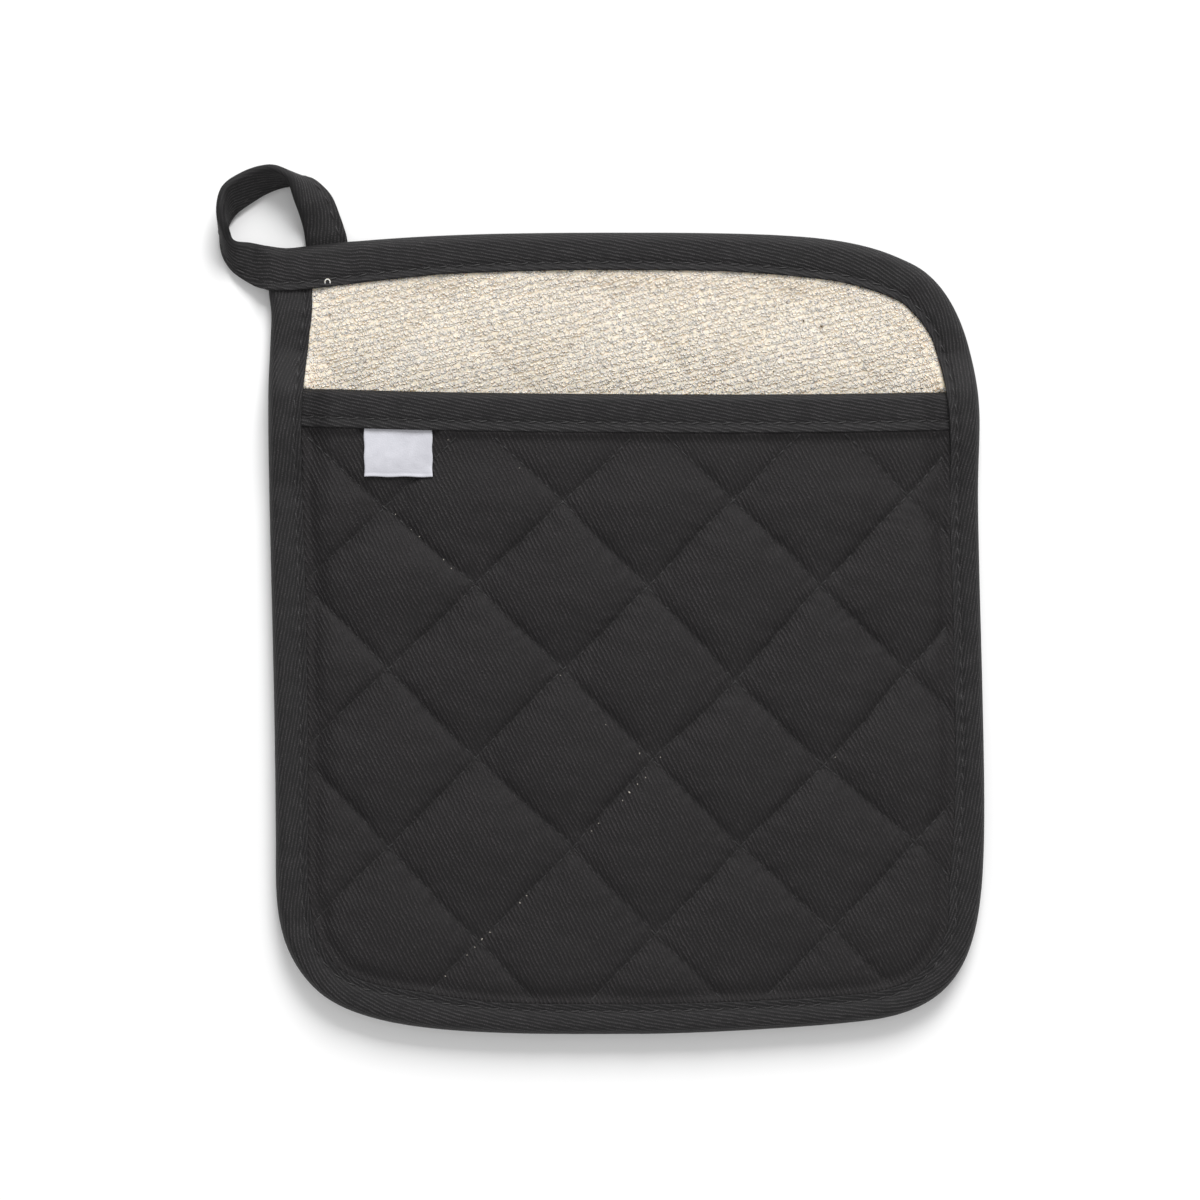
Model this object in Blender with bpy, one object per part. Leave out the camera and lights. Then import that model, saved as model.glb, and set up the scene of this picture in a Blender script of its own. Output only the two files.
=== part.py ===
"""Pocket pot holder, lying face up as it is used.

A quilted cotton pad with a terry face, a quilted pocket over its lower three quarters, and bias
tape: one length folded over the pocket's mouth, one sewn round the whole edge that runs on past
the top left corner, bends round and comes back under the edge as a hanging loop.

X runs to the right, Y towards the loop, Z up from the table that the pot holder lies on. The
origin is the middle of the underside of its box. Tables are in millimetres and degrees.
"""

import math

import bmesh
import bpy
import numpy as np

MM = 0.001

# Cloth, metres.
TAPE = 1.2 * MM  # bias tape with its hem turned in, pressed
TAPE_CORNER = 1.0 * MM  # flat cut across the tape's outer corners
TERRY = 1.2 * MM  # terry with its loops pressed flat
GAP = 0.3 * MM  # between pieces that lie on each other
HEM = TAPE + GAP  # a panel stops this far inside the tape's outer face
GRIP = 10.3 * MM  # strip of a panel that is pressed flat under the tape
STRIP = HEM + GRIP  # the same strip, from the tape's outer face
SLACK = 0.9 * MM  # the wadding starts to swell this far past the strip
SHOULDER = 6.0 * MM  # and reaches its full height over this stretch
SEAM = 1.5 * MM  # a padded panel where the tape presses it

# Heights inside the pressed strip, metres above the table or above the piece's own underside.
PAD_CREST = 3.4 * MM
PAD_TROUGH = 2.7 * MM
PAD_LIFT = 0.5 * MM  # the underside rises this much along a row of quilting
POCKET_CREST = 3.8 * MM
POCKET_TROUGH = 2.2 * MM
POCKET_REST = 0.6 * MM  # the pocket lies this much higher once it is clear of the side tape

# The pocket's hollow, metres.
HOLLOW = 7.0 * MM  # how far the middle of the mouth stands open
ARCH_POWER = 2.5  # of the arch from side to side: more is flatter in the middle
RISE_POWER = 1.3  # of its growth from the foot to the mouth: 1 is straight
MOUTH_LIFT = 1.5 * MM  # room for the mouth tape's lower leg
MOUTH_RUN = 30.0 * MM  # the stretch below the mouth over which that room opens
MOUTH_LEG = 10.8 * MM
STEP_UP = 0.6 * MM  # the side tape stays high this far past both edges of the mouth tape
STEP_RUN = 6.0 * MM  # and steps down over this stretch
MOUTH_STEPS = 13

# Outer edge in the order the tape is sewn: down the left side, round the foot, up the right side,
# back along the top. Each row is a point of a cubic Bezier chain.
EDGE = [
    # place, x, y, heading, reach_back, reach_on, leg of the tape, steps to the next row
    ("left side, top", -94.3, 88.2, -90.4, 0.0, 60.0, 10.2, 7),
    ("left side, foot", -92.3, -67.0, -89.6, 60.0, 15.6, 9.5, 8),
    ("bottom left corner", -81.5, -110.2, -45.2, 17.4, 19.1, 9.3, 9),
    ("bottom, middle", 12.0, -123.5, 0.3, 45.6, 19.4, 9.1, 5),
    ("bottom right corner", 80.0, -119.1, 10.6, 10.2, 26.0, 9.1, 11),
    ("right side, foot", 109.5, -62.1, 89.0, 35.2, 35.0, 9.1, 6),
    ("right side, top", 107.8, 44.0, 92.0, 35.0, 14.0, 9.1, 8),
    ("top right corner", 88.9, 95.8, 153.9, 22.3, 16.8, 11.4, 6),
    ("top, middle", 8.6, 104.7, 180.0, 52.5, 32.6, 10.7, 7),
    ("top left corner", -94.3, 100.3, 185.0, 53.5, 0.0, 11.6, 0),
]

# The mouth's edge is a shallow dip between the two sides.
MOUTH = {"left": (-94.4, 60.6), "right": (107.9, 59.4), "dip": 1.5}

# Rows of quilting: a point that each passes through and its heading. Both sets cross the pad from
# side to side, a little unevenly, as the machine ran them.
QUILTING = {
    "falling": [
        ("right of the label, top", 87.7, 29.7, -44.0),
        ("third from the corner", 62.8, 4.1, -44.2),
        ("long diagonal", 38.6, -21.7, -43.6),
        ("below the label", 15.1, -45.1, -43.2),
        ("left side, middle", -35.4, -45.1, -44.8),
        ("left side, foot", -60.3, -70.6, -45.5),
        ("terry, right", 87.7, 79.5, -44.0),
    ],
    "rising": [
        ("terry, left", -35.4, 77.0, 43.5),
        ("label", -61.8, 26.2, 43.6),
        ("first full row", -35.4, 4.4, 43.8),
        ("long diagonal", -10.5, -20.0, 45.2),
        ("second diagonal", 38.6, -23.4, 46.0),
        ("right side, middle", 40.0, -70.6, 46.3),
        ("right side, foot", 66.3, -94.1, 46.5),
    ],
}
DIAMOND = 35.0 * MM  # between neighbouring rows
SNAP = 0.6 * MM  # a corner this near a row of quilting counts as on it
ON_LINE = 0.001 * MM  # a point this near the mouth's line counts as on it
SQUARE = 0.5  # cosine of the turn above which a corner of the edge counts as square
SHARP = 40.0  # degrees between two faces above which the edge between them is shaded sharp

# The free tape of the loop: where its folded edge and its stitched edge run. It leaves the corner
# flat, stands up on its stitched edge at the left turn, leans outwards along the upper strand,
# turns over at the top and comes down flat.
LOOP = [
    # place, folded edge x, y, z, stitched edge x, y, z
    ("corner", -94.7, 100.4, 3.2, -94.7, 88.9, 2.9),
    ("lower strand", -99.6, 101.4, 4.0, -99.5, 90.5, 1.8),
    ("start of the turn", -104.1, 102.7, 7.4, -105.1, 94.4, 0.9),
    ("left turn, lower", -106.7, 105.8, 10.6, -108.1, 99.6, 0.5),
    ("left turn", -108.4, 110.6, 11.6, -108.2, 105.3, 0.4),
    ("left turn, upper", -107.3, 117.0, 10.2, -105.5, 108.7, 0.4),
    ("upper strand, left", -101.8, 121.0, 8.6, -99.5, 112.5, 0.4),
    ("upper strand", -96.1, 123.0, 8.9, -94.1, 115.7, 0.4),
    ("top", -91.7, 122.5, 10.2, -88.4, 117.4, 0.4),
    ("turn-over", -88.6, 118.2, 10.5, -83.0, 118.6, 0.5),
    ("right strand, top", -86.2, 112.6, 7.6, -77.4, 115.6, 0.7),
    ("right strand", -84.5, 107.4, 3.6, -74.3, 109.8, 0.9),
    ("tail end", -83.3, 102.9, 1.4, -71.9, 102.9, 1.3),
]
LOOP_TAPE = 2.2 * MM  # the tape folded shut and stitched
LOOP_CORNER = 0.8 * MM
LOOP_EDGE = 0.4  # of the tape's thickness is left upright between its two corners
LOOP_STEPS = 2  # stations between two rows of the table

# The woven label, tucked up against the mouth tape.
LABEL = {"x": -57.1, "y": 41.5, "width": 19.8, "height": 13.2, "slope": -1.9}
LABEL_CLOTH = 1.0 * MM
LABEL_GAP = 0.8 * MM  # above the pocket, whose puffs lie under it
LABEL_CELLS = (5, 3)

# place: sRGB colour, roughness
FINISH = {
    "back_panel": ((0.185, 0.178, 0.182), 0.9),
    "terry_lining": ((0.875, 0.827, 0.765), 0.95),
    "front_pocket": ((0.185, 0.178, 0.182), 0.9),
    "pocket_binding": ((0.205, 0.204, 0.205), 0.85),
    "edge_binding": ((0.22, 0.22, 0.22), 0.85),
    "hanging_loop": ((0.22, 0.22, 0.22), 0.85),
    "label": ((0.86, 0.86, 0.88), 0.7),
}


def clear_scene():
    for obj in list(bpy.data.objects):
        bpy.data.objects.remove(obj, do_unlink=True)


def ease(t):
    """0 to 1 with a level start and finish."""
    t = np.clip(t, 0.0, 1.0)
    return t * t * (3.0 - 2.0 * t)


def unit(heading):
    angle = math.radians(heading)
    return np.array([math.cos(angle), math.sin(angle)])


# Paths in the plane.


def mouth_line(x):
    """Height in Y of the mouth's edge over x: a chord between the two sides, less a shallow dip."""
    (left, left_y), (right, right_y) = MOUTH["left"], MOUTH["right"]
    t = (x / MM - left) / (right - left)
    return (left_y + t * (right_y - left_y) - 4.0 * MOUTH["dip"] * t * (1.0 - t)) * MM


def bezier_chain():
    """Points of the outer edge and the tape's leg at each, from the rows of EDGE."""
    points, legs = [], []
    for start, end in zip(EDGE, EDGE[1:]):
        _, x0, y0, heading0, _, reach0, leg0, steps = start
        _, x1, y1, heading1, reach1, _, leg1, _ = end
        a, d = np.array([x0, y0]), np.array([x1, y1])
        b = a + reach0 * unit(heading0)
        c = d - reach1 * unit(heading1)
        t = np.linspace(0.0, 1.0, steps, endpoint=False)[:, None]
        points.append((1 - t) ** 3 * a + 3 * (1 - t) ** 2 * t * b + 3 * (1 - t) * t * t * c + t**3 * d)
        legs.append(leg0 + t[:, 0] * (leg1 - leg0))
    points.append(np.array([EDGE[-1][1:3]]))
    legs.append(np.array([EDGE[-1][6]]))
    return np.concatenate(points) * MM, np.concatenate(legs) * MM


def split_at_mouth(points, legs, offset):
    """The path with a point added on each side, where it crosses the mouth's line moved by offset."""
    above = points[:, 1] - mouth_line(points[:, 0]) - offset
    for i in np.nonzero(above[:-1] * above[1:] < 0.0)[0][::-1]:
        t = above[i] / (above[i] - above[i + 1])
        points = np.insert(points, i + 1, points[i] + t * (points[i + 1] - points[i]), axis=0)
        legs = np.insert(legs, i + 1, legs[i] + t * (legs[i + 1] - legs[i]))
    return points, legs


def outer_edge():
    points, legs = bezier_chain()
    above = (0.0, STEP_UP, STEP_UP + STEP_RUN)
    below = (MOUTH_LEG + STEP_UP, MOUTH_LEG + STEP_UP + STEP_RUN, MOUTH_RUN)
    for offset in above + tuple(-depth for depth in below):
        points, legs = split_at_mouth(points, legs, offset)
    return points, legs


def side_normals(path, closed):
    """Inward normals of the sides before and after each point of a path that runs anticlockwise."""
    edges = np.roll(path, -1, axis=0) - path
    if not closed:
        edges[-1] = edges[-2]
    after = np.stack([-edges[:, 1], edges[:, 0]], axis=1)
    after /= np.linalg.norm(after, axis=1)[:, None]
    before = np.roll(after, 1, axis=0)
    if not closed:
        before[0] = after[0]
    return before, after


def mitres(path, closed):
    """Inward offsets for a step of 1 from each point of a path."""
    before, after = side_normals(path, closed)
    return (before + after) / (1.0 + (before * after).sum(axis=1))[:, None]


def clear_corners(path):
    """The path without the points that the pressed strip would overrun beside a square corner."""
    before, after = side_normals(path, closed=True)
    square = (before * after).sum(axis=1) < SQUARE
    reach = np.linalg.norm(path[:, None] - path[square][None], axis=2).min(axis=1)
    return path[square | (reach > STRIP + SNAP)]


def inset(path, distance):
    return path + distance * mitres(path, closed=True)


def below_mouth():
    points, _ = outer_edge()
    return points[points[:, 1] <= mouth_line(points[:, 0]) + ON_LINE]


def mouth_stations(margin):
    """Points on the mouth's line from right to left, the end ones this far inside the two sides."""
    side = below_mouth()
    right, left = side[-1, 0], side[0, 0]
    rise = STRIP + SLACK + SHOULDER * np.array([0.0, 0.5, 1.0])
    middle = np.linspace(right - rise[-1], left + rise[-1], MOUTH_STEPS)[1:-1]
    x = np.concatenate([[right - margin], right - rise, middle, left + rise[::-1], [left + margin]])
    return np.stack([x, mouth_line(x)], axis=1)


def pocket_edge():
    """Outer edge below the mouth, closed by the mouth's own line from right to left."""
    return np.concatenate([below_mouth(), mouth_stations(0.0)[1:-1]])


# Heights, each a function of arrays x and y.


def rim_distance(x, y, path):
    """Distance from each point to a closed path."""
    start = path
    edge = np.roll(path, -1, axis=0) - path
    offset = np.stack([x, y], axis=1)[:, None, :] - start[None]
    t = np.clip((offset * edge).sum(axis=2) / (edge * edge).sum(axis=1), 0.0, 1.0)
    return np.linalg.norm(offset - t[..., None] * edge, axis=2).min(axis=1)


def swell(x, y, path):
    """0 where tape presses the panel, 1 where its wadding is free."""
    return np.clip((rim_distance(x, y, path) - STRIP - SLACK) / SHOULDER, 0.0, 1.0)


def row_distance(x, y, rows):
    """Distance from each point to the nearest row of quilting of one set."""
    distances = []
    for _, row_x, row_y, heading in rows:
        dx, dy = unit(heading)
        distances.append(np.abs((x - row_x * MM) * dy - (y - row_y * MM) * dx))
    return np.min(distances, axis=0)


def puff(x, y):
    """0 along a row of quilting, 1 from a third of a diamond away from both sets of rows."""
    third = DIAMOND / 3.0 - SNAP
    falling = np.clip(row_distance(x, y, QUILTING["falling"]) / third, 0.0, 1.0)
    rising = np.clip(row_distance(x, y, QUILTING["rising"]) / third, 0.0, 1.0)
    return falling * rising


def pad_floor(x, y):
    free = swell(x, y, outer_edge()[0])
    return HEM * (1.0 - free) + PAD_LIFT * free * (1.0 - puff(x, y))


def pad_roof(x, y):
    free = swell(x, y, outer_edge()[0])
    padded = PAD_TROUGH + (PAD_CREST - PAD_TROUGH) * puff(x, y)
    return (HEM + SEAM) * (1.0 - free) + padded * free


def terry_floor(x, y):
    return pad_roof(x, y) + GAP


def terry_roof(x, y):
    return terry_floor(x, y) + TERRY


def mouth_lift(x, y):
    depth = mouth_line(x) - y
    return MOUTH_LIFT * ease((MOUTH_RUN - depth) / (MOUTH_RUN - STRIP))


def hollow(x, y):
    """How far the pocket stands off the terry: an arch from side to side that grows to the mouth."""
    (left, _), (right, _) = MOUTH["left"], MOUTH["right"]
    foot = EDGE[3][2] * MM
    across = 2.0 * (x / MM - left) / (right - left) - 1.0
    along = (y - foot) / (mouth_line(x) - foot)
    arch = np.clip(1.0 - np.abs(across) ** ARCH_POWER, 0.0, 1.0)
    return HOLLOW * arch * np.clip(along, 0.0, 1.0) ** RISE_POWER


def pocket_floor(x, y):
    free = swell(x, y, outer_edge()[0])
    seam = HEM + SEAM + GAP + TERRY + GAP
    return seam + mouth_lift(x, y) + (POCKET_REST + hollow(x, y)) * free


def pocket_roof(x, y):
    free = swell(x, y, pocket_edge())
    padded = POCKET_TROUGH + (POCKET_CREST - POCKET_TROUGH) * puff(x, y)
    return pocket_floor(x, y) + SEAM * (1.0 - free) + padded * free


def rim_floor(x, y):
    return np.full_like(x, HEM)


def stack_roof(x, y):
    """Top of what the edge tape holds: pad and terry, then the taped mouth, then the pocket alone."""
    bare = HEM + SEAM + GAP + TERRY
    with_pocket = bare + GAP + mouth_lift(x, y) + SEAM
    above = y - mouth_line(x) - STEP_UP
    below = mouth_line(x) - y - MOUTH_LEG - STEP_UP
    taped = with_pocket + HEM * (1.0 - ease(below / STEP_RUN))
    return taped + (bare - taped) * ease(above / STEP_RUN)


def mouth_roof(x, y):
    return pocket_floor(x, y) + SEAM


# Pieces.


def new_object(name, bm):
    mesh = bpy.data.meshes.new(name)
    bm.to_mesh(mesh)
    bm.free()
    mesh.set_sharp_from_angle(angle=math.radians(SHARP))
    obj = bpy.data.objects.new(name, mesh)
    collection.objects.link(obj)
    obj.data.materials.append(material(name))
    return obj


def material(name):
    colour, roughness = FINISH[name]
    made = bpy.data.materials.new(name)
    made.use_nodes = True
    shader = made.node_tree.nodes["Principled BSDF"]
    linear = [((c + 0.055) / 1.055) ** 2.4 for c in colour]
    shader.inputs["Base Color"].default_value = (*linear, 1.0)
    shader.inputs["Roughness"].default_value = roughness
    shader.inputs["Metallic"].default_value = 0.0
    return made


def set_heights(verts, height):
    x, y, _ = np.array([vert.co for vert in verts], dtype=float).T
    for vert, z in zip(verts, height(x, y)):
        vert.co.z = z


def quilting_cuts():
    """Every row of quilting, and two cuts at thirds between it and the next one of its set."""
    for rows in QUILTING.values():
        for _, x, y, heading in rows:
            along = unit(heading)
            across = np.array([-along[1], along[0]])
            for third in (-1, 0, 1):
                start = np.array([x, y]) * MM + across * DIAMOND * third / 3.0
                yield (*start, 0.0), (*across, 0.0)


def thicken(bm, floor, roof):
    """Makes a flat sheet a closed solid between two heights."""
    sheet = bm.verts[:]
    made = bmesh.ops.extrude_face_region(bm, geom=bm.faces[:])
    raised = [item for item in made["geom"] if isinstance(item, bmesh.types.BMVert)]
    set_heights(sheet, floor)
    set_heights(raised, roof)
    bmesh.ops.recalc_face_normals(bm, faces=bm.faces[:])


def quilted_panel(name, edge, floor, roof):
    """Cloth cut a hem inside edge, with the strip that the tape presses and the quilting marked on it."""
    rim = inset(clear_corners(edge), HEM)
    bm = bmesh.new()
    bmesh.ops.create_circle(bm, cap_ends=True, segments=len(rim), radius=1.0)
    for vert, (x, y) in zip(bm.verts, rim):
        vert.co = (x, y, 0.0)
    bm.faces.ensure_lookup_table()
    bmesh.ops.inset_individual(bm, faces=[bm.faces[0]], thickness=GRIP, use_even_offset=True)
    for point, normal in quilting_cuts():
        everything = bm.verts[:] + bm.edges[:] + bm.faces[:]
        bmesh.ops.bisect_plane(bm, geom=everything, dist=SNAP, plane_co=point, plane_no=normal)
    bmesh.ops.triangulate(bm, faces=bm.faces[:])
    thicken(bm, floor, roof)
    return new_object(name, bm)


def loft(name, rings):
    """Skin over rings of equal count, closed at both ends."""
    bm = bmesh.new()
    rows = [[bm.verts.new(point) for point in ring] for ring in rings]
    for row, following in zip(rows, rows[1:]):
        for i in range(len(row)):
            j = (i + 1) % len(row)
            bm.faces.new((row[i], row[j], following[j], following[i]))
    bm.faces.new(rows[0])
    bm.faces.new(rows[-1])
    bmesh.ops.recalc_face_normals(bm, faces=bm.faces[:])
    bmesh.ops.triangulate(bm, faces=bm.faces[:])
    return new_object(name, bm)


def tape_section(leg):
    """Tape folded over an edge: (in from the fold, which surface it follows, height off it)."""
    return [
        (leg, "floor", -HEM),
        (TAPE_CORNER, "floor", -HEM),
        (0.0, "floor", -GAP),
        (0.0, "roof", GAP),
        (TAPE_CORNER, "roof", HEM),
        (leg, "roof", HEM),
        (leg, "roof", GAP),
        (TAPE, "roof", GAP),
        (TAPE, "floor", -GAP),
        (leg, "floor", -GAP),
    ]


def folded_tape(name, path, legs, floor, roof):
    """Tape folded over the edge that path follows, its two legs lying on floor and roof."""
    surfaces = {"floor": floor, "roof": roof}
    rings = []
    for point, inward, leg in zip(path, mitres(path, closed=False), legs):
        ring = []
        for depth, surface, height in tape_section(leg):
            x, y = point + depth * inward
            z = surfaces[surface](np.array([x]), np.array([y]))[0]
            ring.append((x, y, z + height))
        rings.append(ring)
    return loft(name, rings)


def smooth_rows(rows, steps):
    """Catmull-Rom curve through the rows of a table."""
    rows = np.vstack([2 * rows[0] - rows[1], rows, 2 * rows[-1] - rows[-2]])
    made = []
    for a, b, c, d in zip(rows, rows[1:], rows[2:], rows[3:]):
        for t in np.linspace(0.0, 1.0, steps, endpoint=False):
            bend = (2 * a - 5 * b + 4 * c - d) * t * t + (3 * b - a - 3 * c + d) * t**3
            made.append(0.5 * (2 * b + (c - a) * t + bend))
    made.append(rows[-2])
    return np.array(made)


def hanging_loop():
    """Ribbon between the tape's folded edge and its stitched edge, with thickness and soft corners."""
    edges = smooth_rows(np.array([row[1:] for row in LOOP]) * MM, LOOP_STEPS)
    folded, stitched = edges[:, :3], edges[:, 3:]
    along = np.gradient((folded + stitched) / 2.0, axis=0)
    across = folded - stitched
    across /= np.linalg.norm(across, axis=1)[:, None]
    up = np.cross(across, along)
    up *= LOOP_TAPE / 2.0 / np.linalg.norm(up, axis=1)[:, None]
    corner = across * LOOP_CORNER
    side = up * LOOP_EDGE
    sides = [
        stitched - side,
        stitched + corner - up,
        folded - corner - up,
        folded - side,
        folded + side,
        folded - corner + up,
        stitched + corner + up,
        stitched + side,
    ]
    return loft("hanging_loop", np.stack(sides, axis=1))


def label():
    """Woven label on the pocket: a small grid laid on the puffs under it."""
    bm = bmesh.new()
    columns, rows = LABEL_CELLS
    bmesh.ops.create_grid(bm, x_segments=columns, y_segments=rows, size=0.5)
    slope = math.tan(math.radians(LABEL["slope"]))
    for vert in bm.verts:
        across, up = vert.co.x * LABEL["width"], vert.co.y * LABEL["height"]
        tilt = slope * across * (0.5 + vert.co.y)
        vert.co.x = (LABEL["x"] + across) * MM
        vert.co.y = (LABEL["y"] + up + tilt) * MM
    bmesh.ops.triangulate(bm, faces=bm.faces[:])

    def under(x, y):
        return pocket_roof(x, y) + LABEL_GAP

    def over(x, y):
        return under(x, y) + LABEL_CLOTH

    thicken(bm, under, over)
    return new_object("label", bm)


clear_scene()
collection = bpy.data.collections.new("pot_holder")
bpy.context.scene.collection.children.link(collection)

edge_path, edge_legs = outer_edge()
quilted_panel("back_panel", edge_path, pad_floor, pad_roof)
quilted_panel("terry_lining", edge_path, terry_floor, terry_roof)
quilted_panel("front_pocket", pocket_edge(), pocket_floor, pocket_roof)
folded_tape("edge_binding", edge_path, edge_legs, rim_floor, stack_roof)
mouth_points = mouth_stations(HEM + 2.0 * GAP)
mouth_legs = np.full(len(mouth_points), MOUTH_LEG)
folded_tape("pocket_binding", mouth_points, mouth_legs, pocket_floor, mouth_roof)
hanging_loop()
label()
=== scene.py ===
import math

import bpy
import numpy as np
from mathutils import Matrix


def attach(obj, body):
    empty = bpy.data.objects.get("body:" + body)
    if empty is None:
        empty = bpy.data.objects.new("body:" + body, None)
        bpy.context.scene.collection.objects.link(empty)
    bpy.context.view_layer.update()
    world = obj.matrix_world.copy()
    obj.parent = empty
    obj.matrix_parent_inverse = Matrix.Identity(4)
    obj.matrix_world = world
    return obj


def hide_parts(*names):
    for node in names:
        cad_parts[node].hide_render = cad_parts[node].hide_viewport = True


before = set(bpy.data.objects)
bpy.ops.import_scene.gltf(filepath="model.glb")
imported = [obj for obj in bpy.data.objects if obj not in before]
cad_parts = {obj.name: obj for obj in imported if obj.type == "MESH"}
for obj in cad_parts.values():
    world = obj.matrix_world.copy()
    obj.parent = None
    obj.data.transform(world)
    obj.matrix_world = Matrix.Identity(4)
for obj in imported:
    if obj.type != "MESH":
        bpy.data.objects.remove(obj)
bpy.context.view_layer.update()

# ---------------------------------------------------------------------------------------------
# Back panel: black cotton twill over wadding, machine quilted in diamonds. It is the underside of
# the pot holder; its cut edge is inside the edge tape.
# ---------------------------------------------------------------------------------------------

MM = 0.001

# Thicknesses: a tape's leg, the terry, the room between layers, and padding pressed flat in a seam.
TAPE = 1.2 * MM
TERRY = 1.2 * MM
GAP = 0.3 * MM
HEM = TAPE + GAP
SEAM = 1.5 * MM
# Ways in from an edge: under the mouth tape's lower leg, and from the edge tape to free padding.
STRIP = HEM + 10.3 * MM
SHOULDER = 7.5 * MM

# The outline from the top left corner round the foot: place, x, y, heading, reach back and reach on of
# the curve's handles, in mm and degrees.
EDGE = [
    ("left side, under the top tape", -94.7, 93.2, -87.7, 0.0, 1.6),
    ("left side, where it comes out", -94.4, 88.2, -87.7, 1.6, 3.3),
    ("left side, waist", -93.7, 78.5, -92.5, 5.1, 7.4),
    ("left side, at the mouth", -94.3, 58.0, -90.3, 10.0, 38.8),
    ("left side, foot", -92.3, -67.0, -89.6, 60.0, 15.6),
    ("bottom left corner", -81.5, -110.2, -45.2, 17.4, 19.1),
    ("bottom, middle", 12.0, -123.5, 0.3, 45.6, 19.4),
    ("bottom right corner", 80.0, -119.1, 10.6, 10.2, 26.0),
    ("right side, foot", 109.4, -61.4, 89.8, 35.2, 22.0),
    ("right side, middle", 107.7, 22.0, 91.1, 29.9, 16.3),
    ("right side, at the mouth", 107.9, 52.0, 91.4, 6.5, 9.6),
    ("top right corner", 88.7, 95.9, 154.1, 18.2, 16.8),
    ("top, middle", 8.6, 104.7, 180.0, 52.5, 33.0),
    ("top, left", -72.0, 102.0, 185.3, 25.9, 6.5),
    ("top left corner", -89.0, 100.3, 182.3, 4.0, 0.0),
]
EDGE_FOOT = -123.5 * MM

# way along EDGE, width of the tape's leg: mm
LEGS = np.array([
    (0, 12.5), (7, 12.5), (12, 11.8), (16, 11.3), (24, 10.9), (31, 10.5), (42, 9.8), (62, 9.8),
    (80, 10.1), (110, 10.0), (140, 9.8), (165, 9.6), (190, 9.6), (212, 9.4), (222, 9.8), (230, 10.2),
    (237, 10.3), (248, 9.8), (260, 9.2), (270, 9.0), (315, 8.9), (335, 8.6), (360, 8.3), (379, 8.2),
    (395, 9.0), (409, 8.2), (422, 9.8), (435, 9.4), (447, 8.8), (460, 8.5), (500, 8.3), (545, 8.5),
    (562, 9.4), (583, 9.7), (595, 11.1), (617, 11.8), (639, 11.7), (662, 11.0), (700, 10.85),
    (743, 11.3), (757, 11.9), (771, 12.3), (786, 12.4)]) * MM

# The mouth of the pocket, mm: a shallow dip between its two ends. Its tape's leg shows 10.9 mm.
MOUTH_LEFT, MOUTH_RIGHT, MOUTH_DIP = (-94.4, 60.6), (107.9, 59.4), 2.0
MOUTH_LEG = 10.9 * MM

# Rows of the pad's quilting at 45 degrees, each by two points, mm. The pocket is quilted by itself,
# half a diamond off.
ROW_PITCH = 49.9
PAD_FALLING = [((x, 60.2), (x + 40.0, 20.2)) for x in np.arange(-270.1, 90.0, ROW_PITCH)]
PAD_RISING = [((x, 60.2), (x + 40.0, 100.2)) for x in np.arange(-119.0, 240.0, ROW_PITCH)]


def unit(heading):
    """Unit vector in plan along a heading in degrees."""
    return np.array([math.cos(math.radians(heading)), math.sin(math.radians(heading))])


def way_along(path):
    """Length along a path up to each of its points, from 0."""
    return np.concatenate([[0.0], np.cumsum(np.linalg.norm(np.diff(path, axis=0), axis=1))])


def of_length_one(vectors):
    """Vectors, along the last axis, divided by their length."""
    return vectors / np.linalg.norm(vectors, axis=-1, keepdims=True)


def edge_line(spacing):
    """Cubic Bezier curves through the rows of EDGE, in even steps of length: points, legs, length so far."""
    t = np.linspace(0.0, 1.0, 200, endpoint=False)[:, None]
    points = []
    for (_, x0, y0, turn0, _, on), (_, x1, y1, turn1, back, _) in zip(EDGE, EDGE[1:]):
        a, d = np.array([x0, y0]), np.array([x1, y1])
        b, c = a + on * unit(turn0), d - back * unit(turn1)
        points.append((1 - t) ** 3 * a + 3 * (1 - t) ** 2 * t * b + 3 * (1 - t) * t * t * c + t ** 3 * d)
    points = np.concatenate(points + [np.array([EDGE[-1][1:3]])]) * MM
    run = way_along(points)
    even = np.linspace(0.0, run[-1], int(run[-1] / spacing) + 1)
    x, y = (np.interp(even, run, points[:, k]) for k in (0, 1))
    return np.stack([x, y], axis=1), np.interp(even, LEGS[:, 0], LEGS[:, 1]), even


def inward(path):
    """Unit normals to the left of a path, from its central differences."""
    along = of_length_one(np.gradient(path, axis=0))
    return np.stack([-along[:, 1], along[:, 0]], axis=1)


EDGE_POINTS, EDGE_LEGS, _ = edge_line(1.2 * MM)


def mouth_y(x):
    """Height of the mouth's edge over x: a chord less a shallow dip, 1 - |2t - 1|^2.6 of its depth."""
    (left, left_y), (right, right_y) = MOUTH_LEFT, MOUTH_RIGHT
    t = (x / MM - left) / (right - left)
    return (left_y + t * (right_y - left_y) - MOUTH_DIP * (1.0 - np.abs(2.0 * t - 1.0) ** 2.6)) * MM


def ease(t):
    """0 to 1 with a level start and finish."""
    t = np.clip(t, 0.0, 1.0)
    return t * t * (3.0 - 2.0 * t)


def to_edge(x, y):
    """Distance from each point to the nearest of EDGE_POINTS, and the tape's leg there, block by block."""
    flat_x, flat_y = x.ravel(), y.ravel()
    distance, leg = np.empty(flat_x.size), np.empty(flat_x.size)
    for start in range(0, flat_x.size, 8000):
        block = slice(start, start + 8000)
        square = (flat_x[block, None] - EDGE_POINTS[None, :, 0]) ** 2
        square += (flat_y[block, None] - EDGE_POINTS[None, :, 1]) ** 2
        pick = square.argmin(axis=1)
        distance[block] = np.sqrt(square[np.arange(len(pick)), pick])
        leg[block] = EDGE_LEGS[pick]
    return distance.reshape(x.shape), leg.reshape(x.shape)


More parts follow.
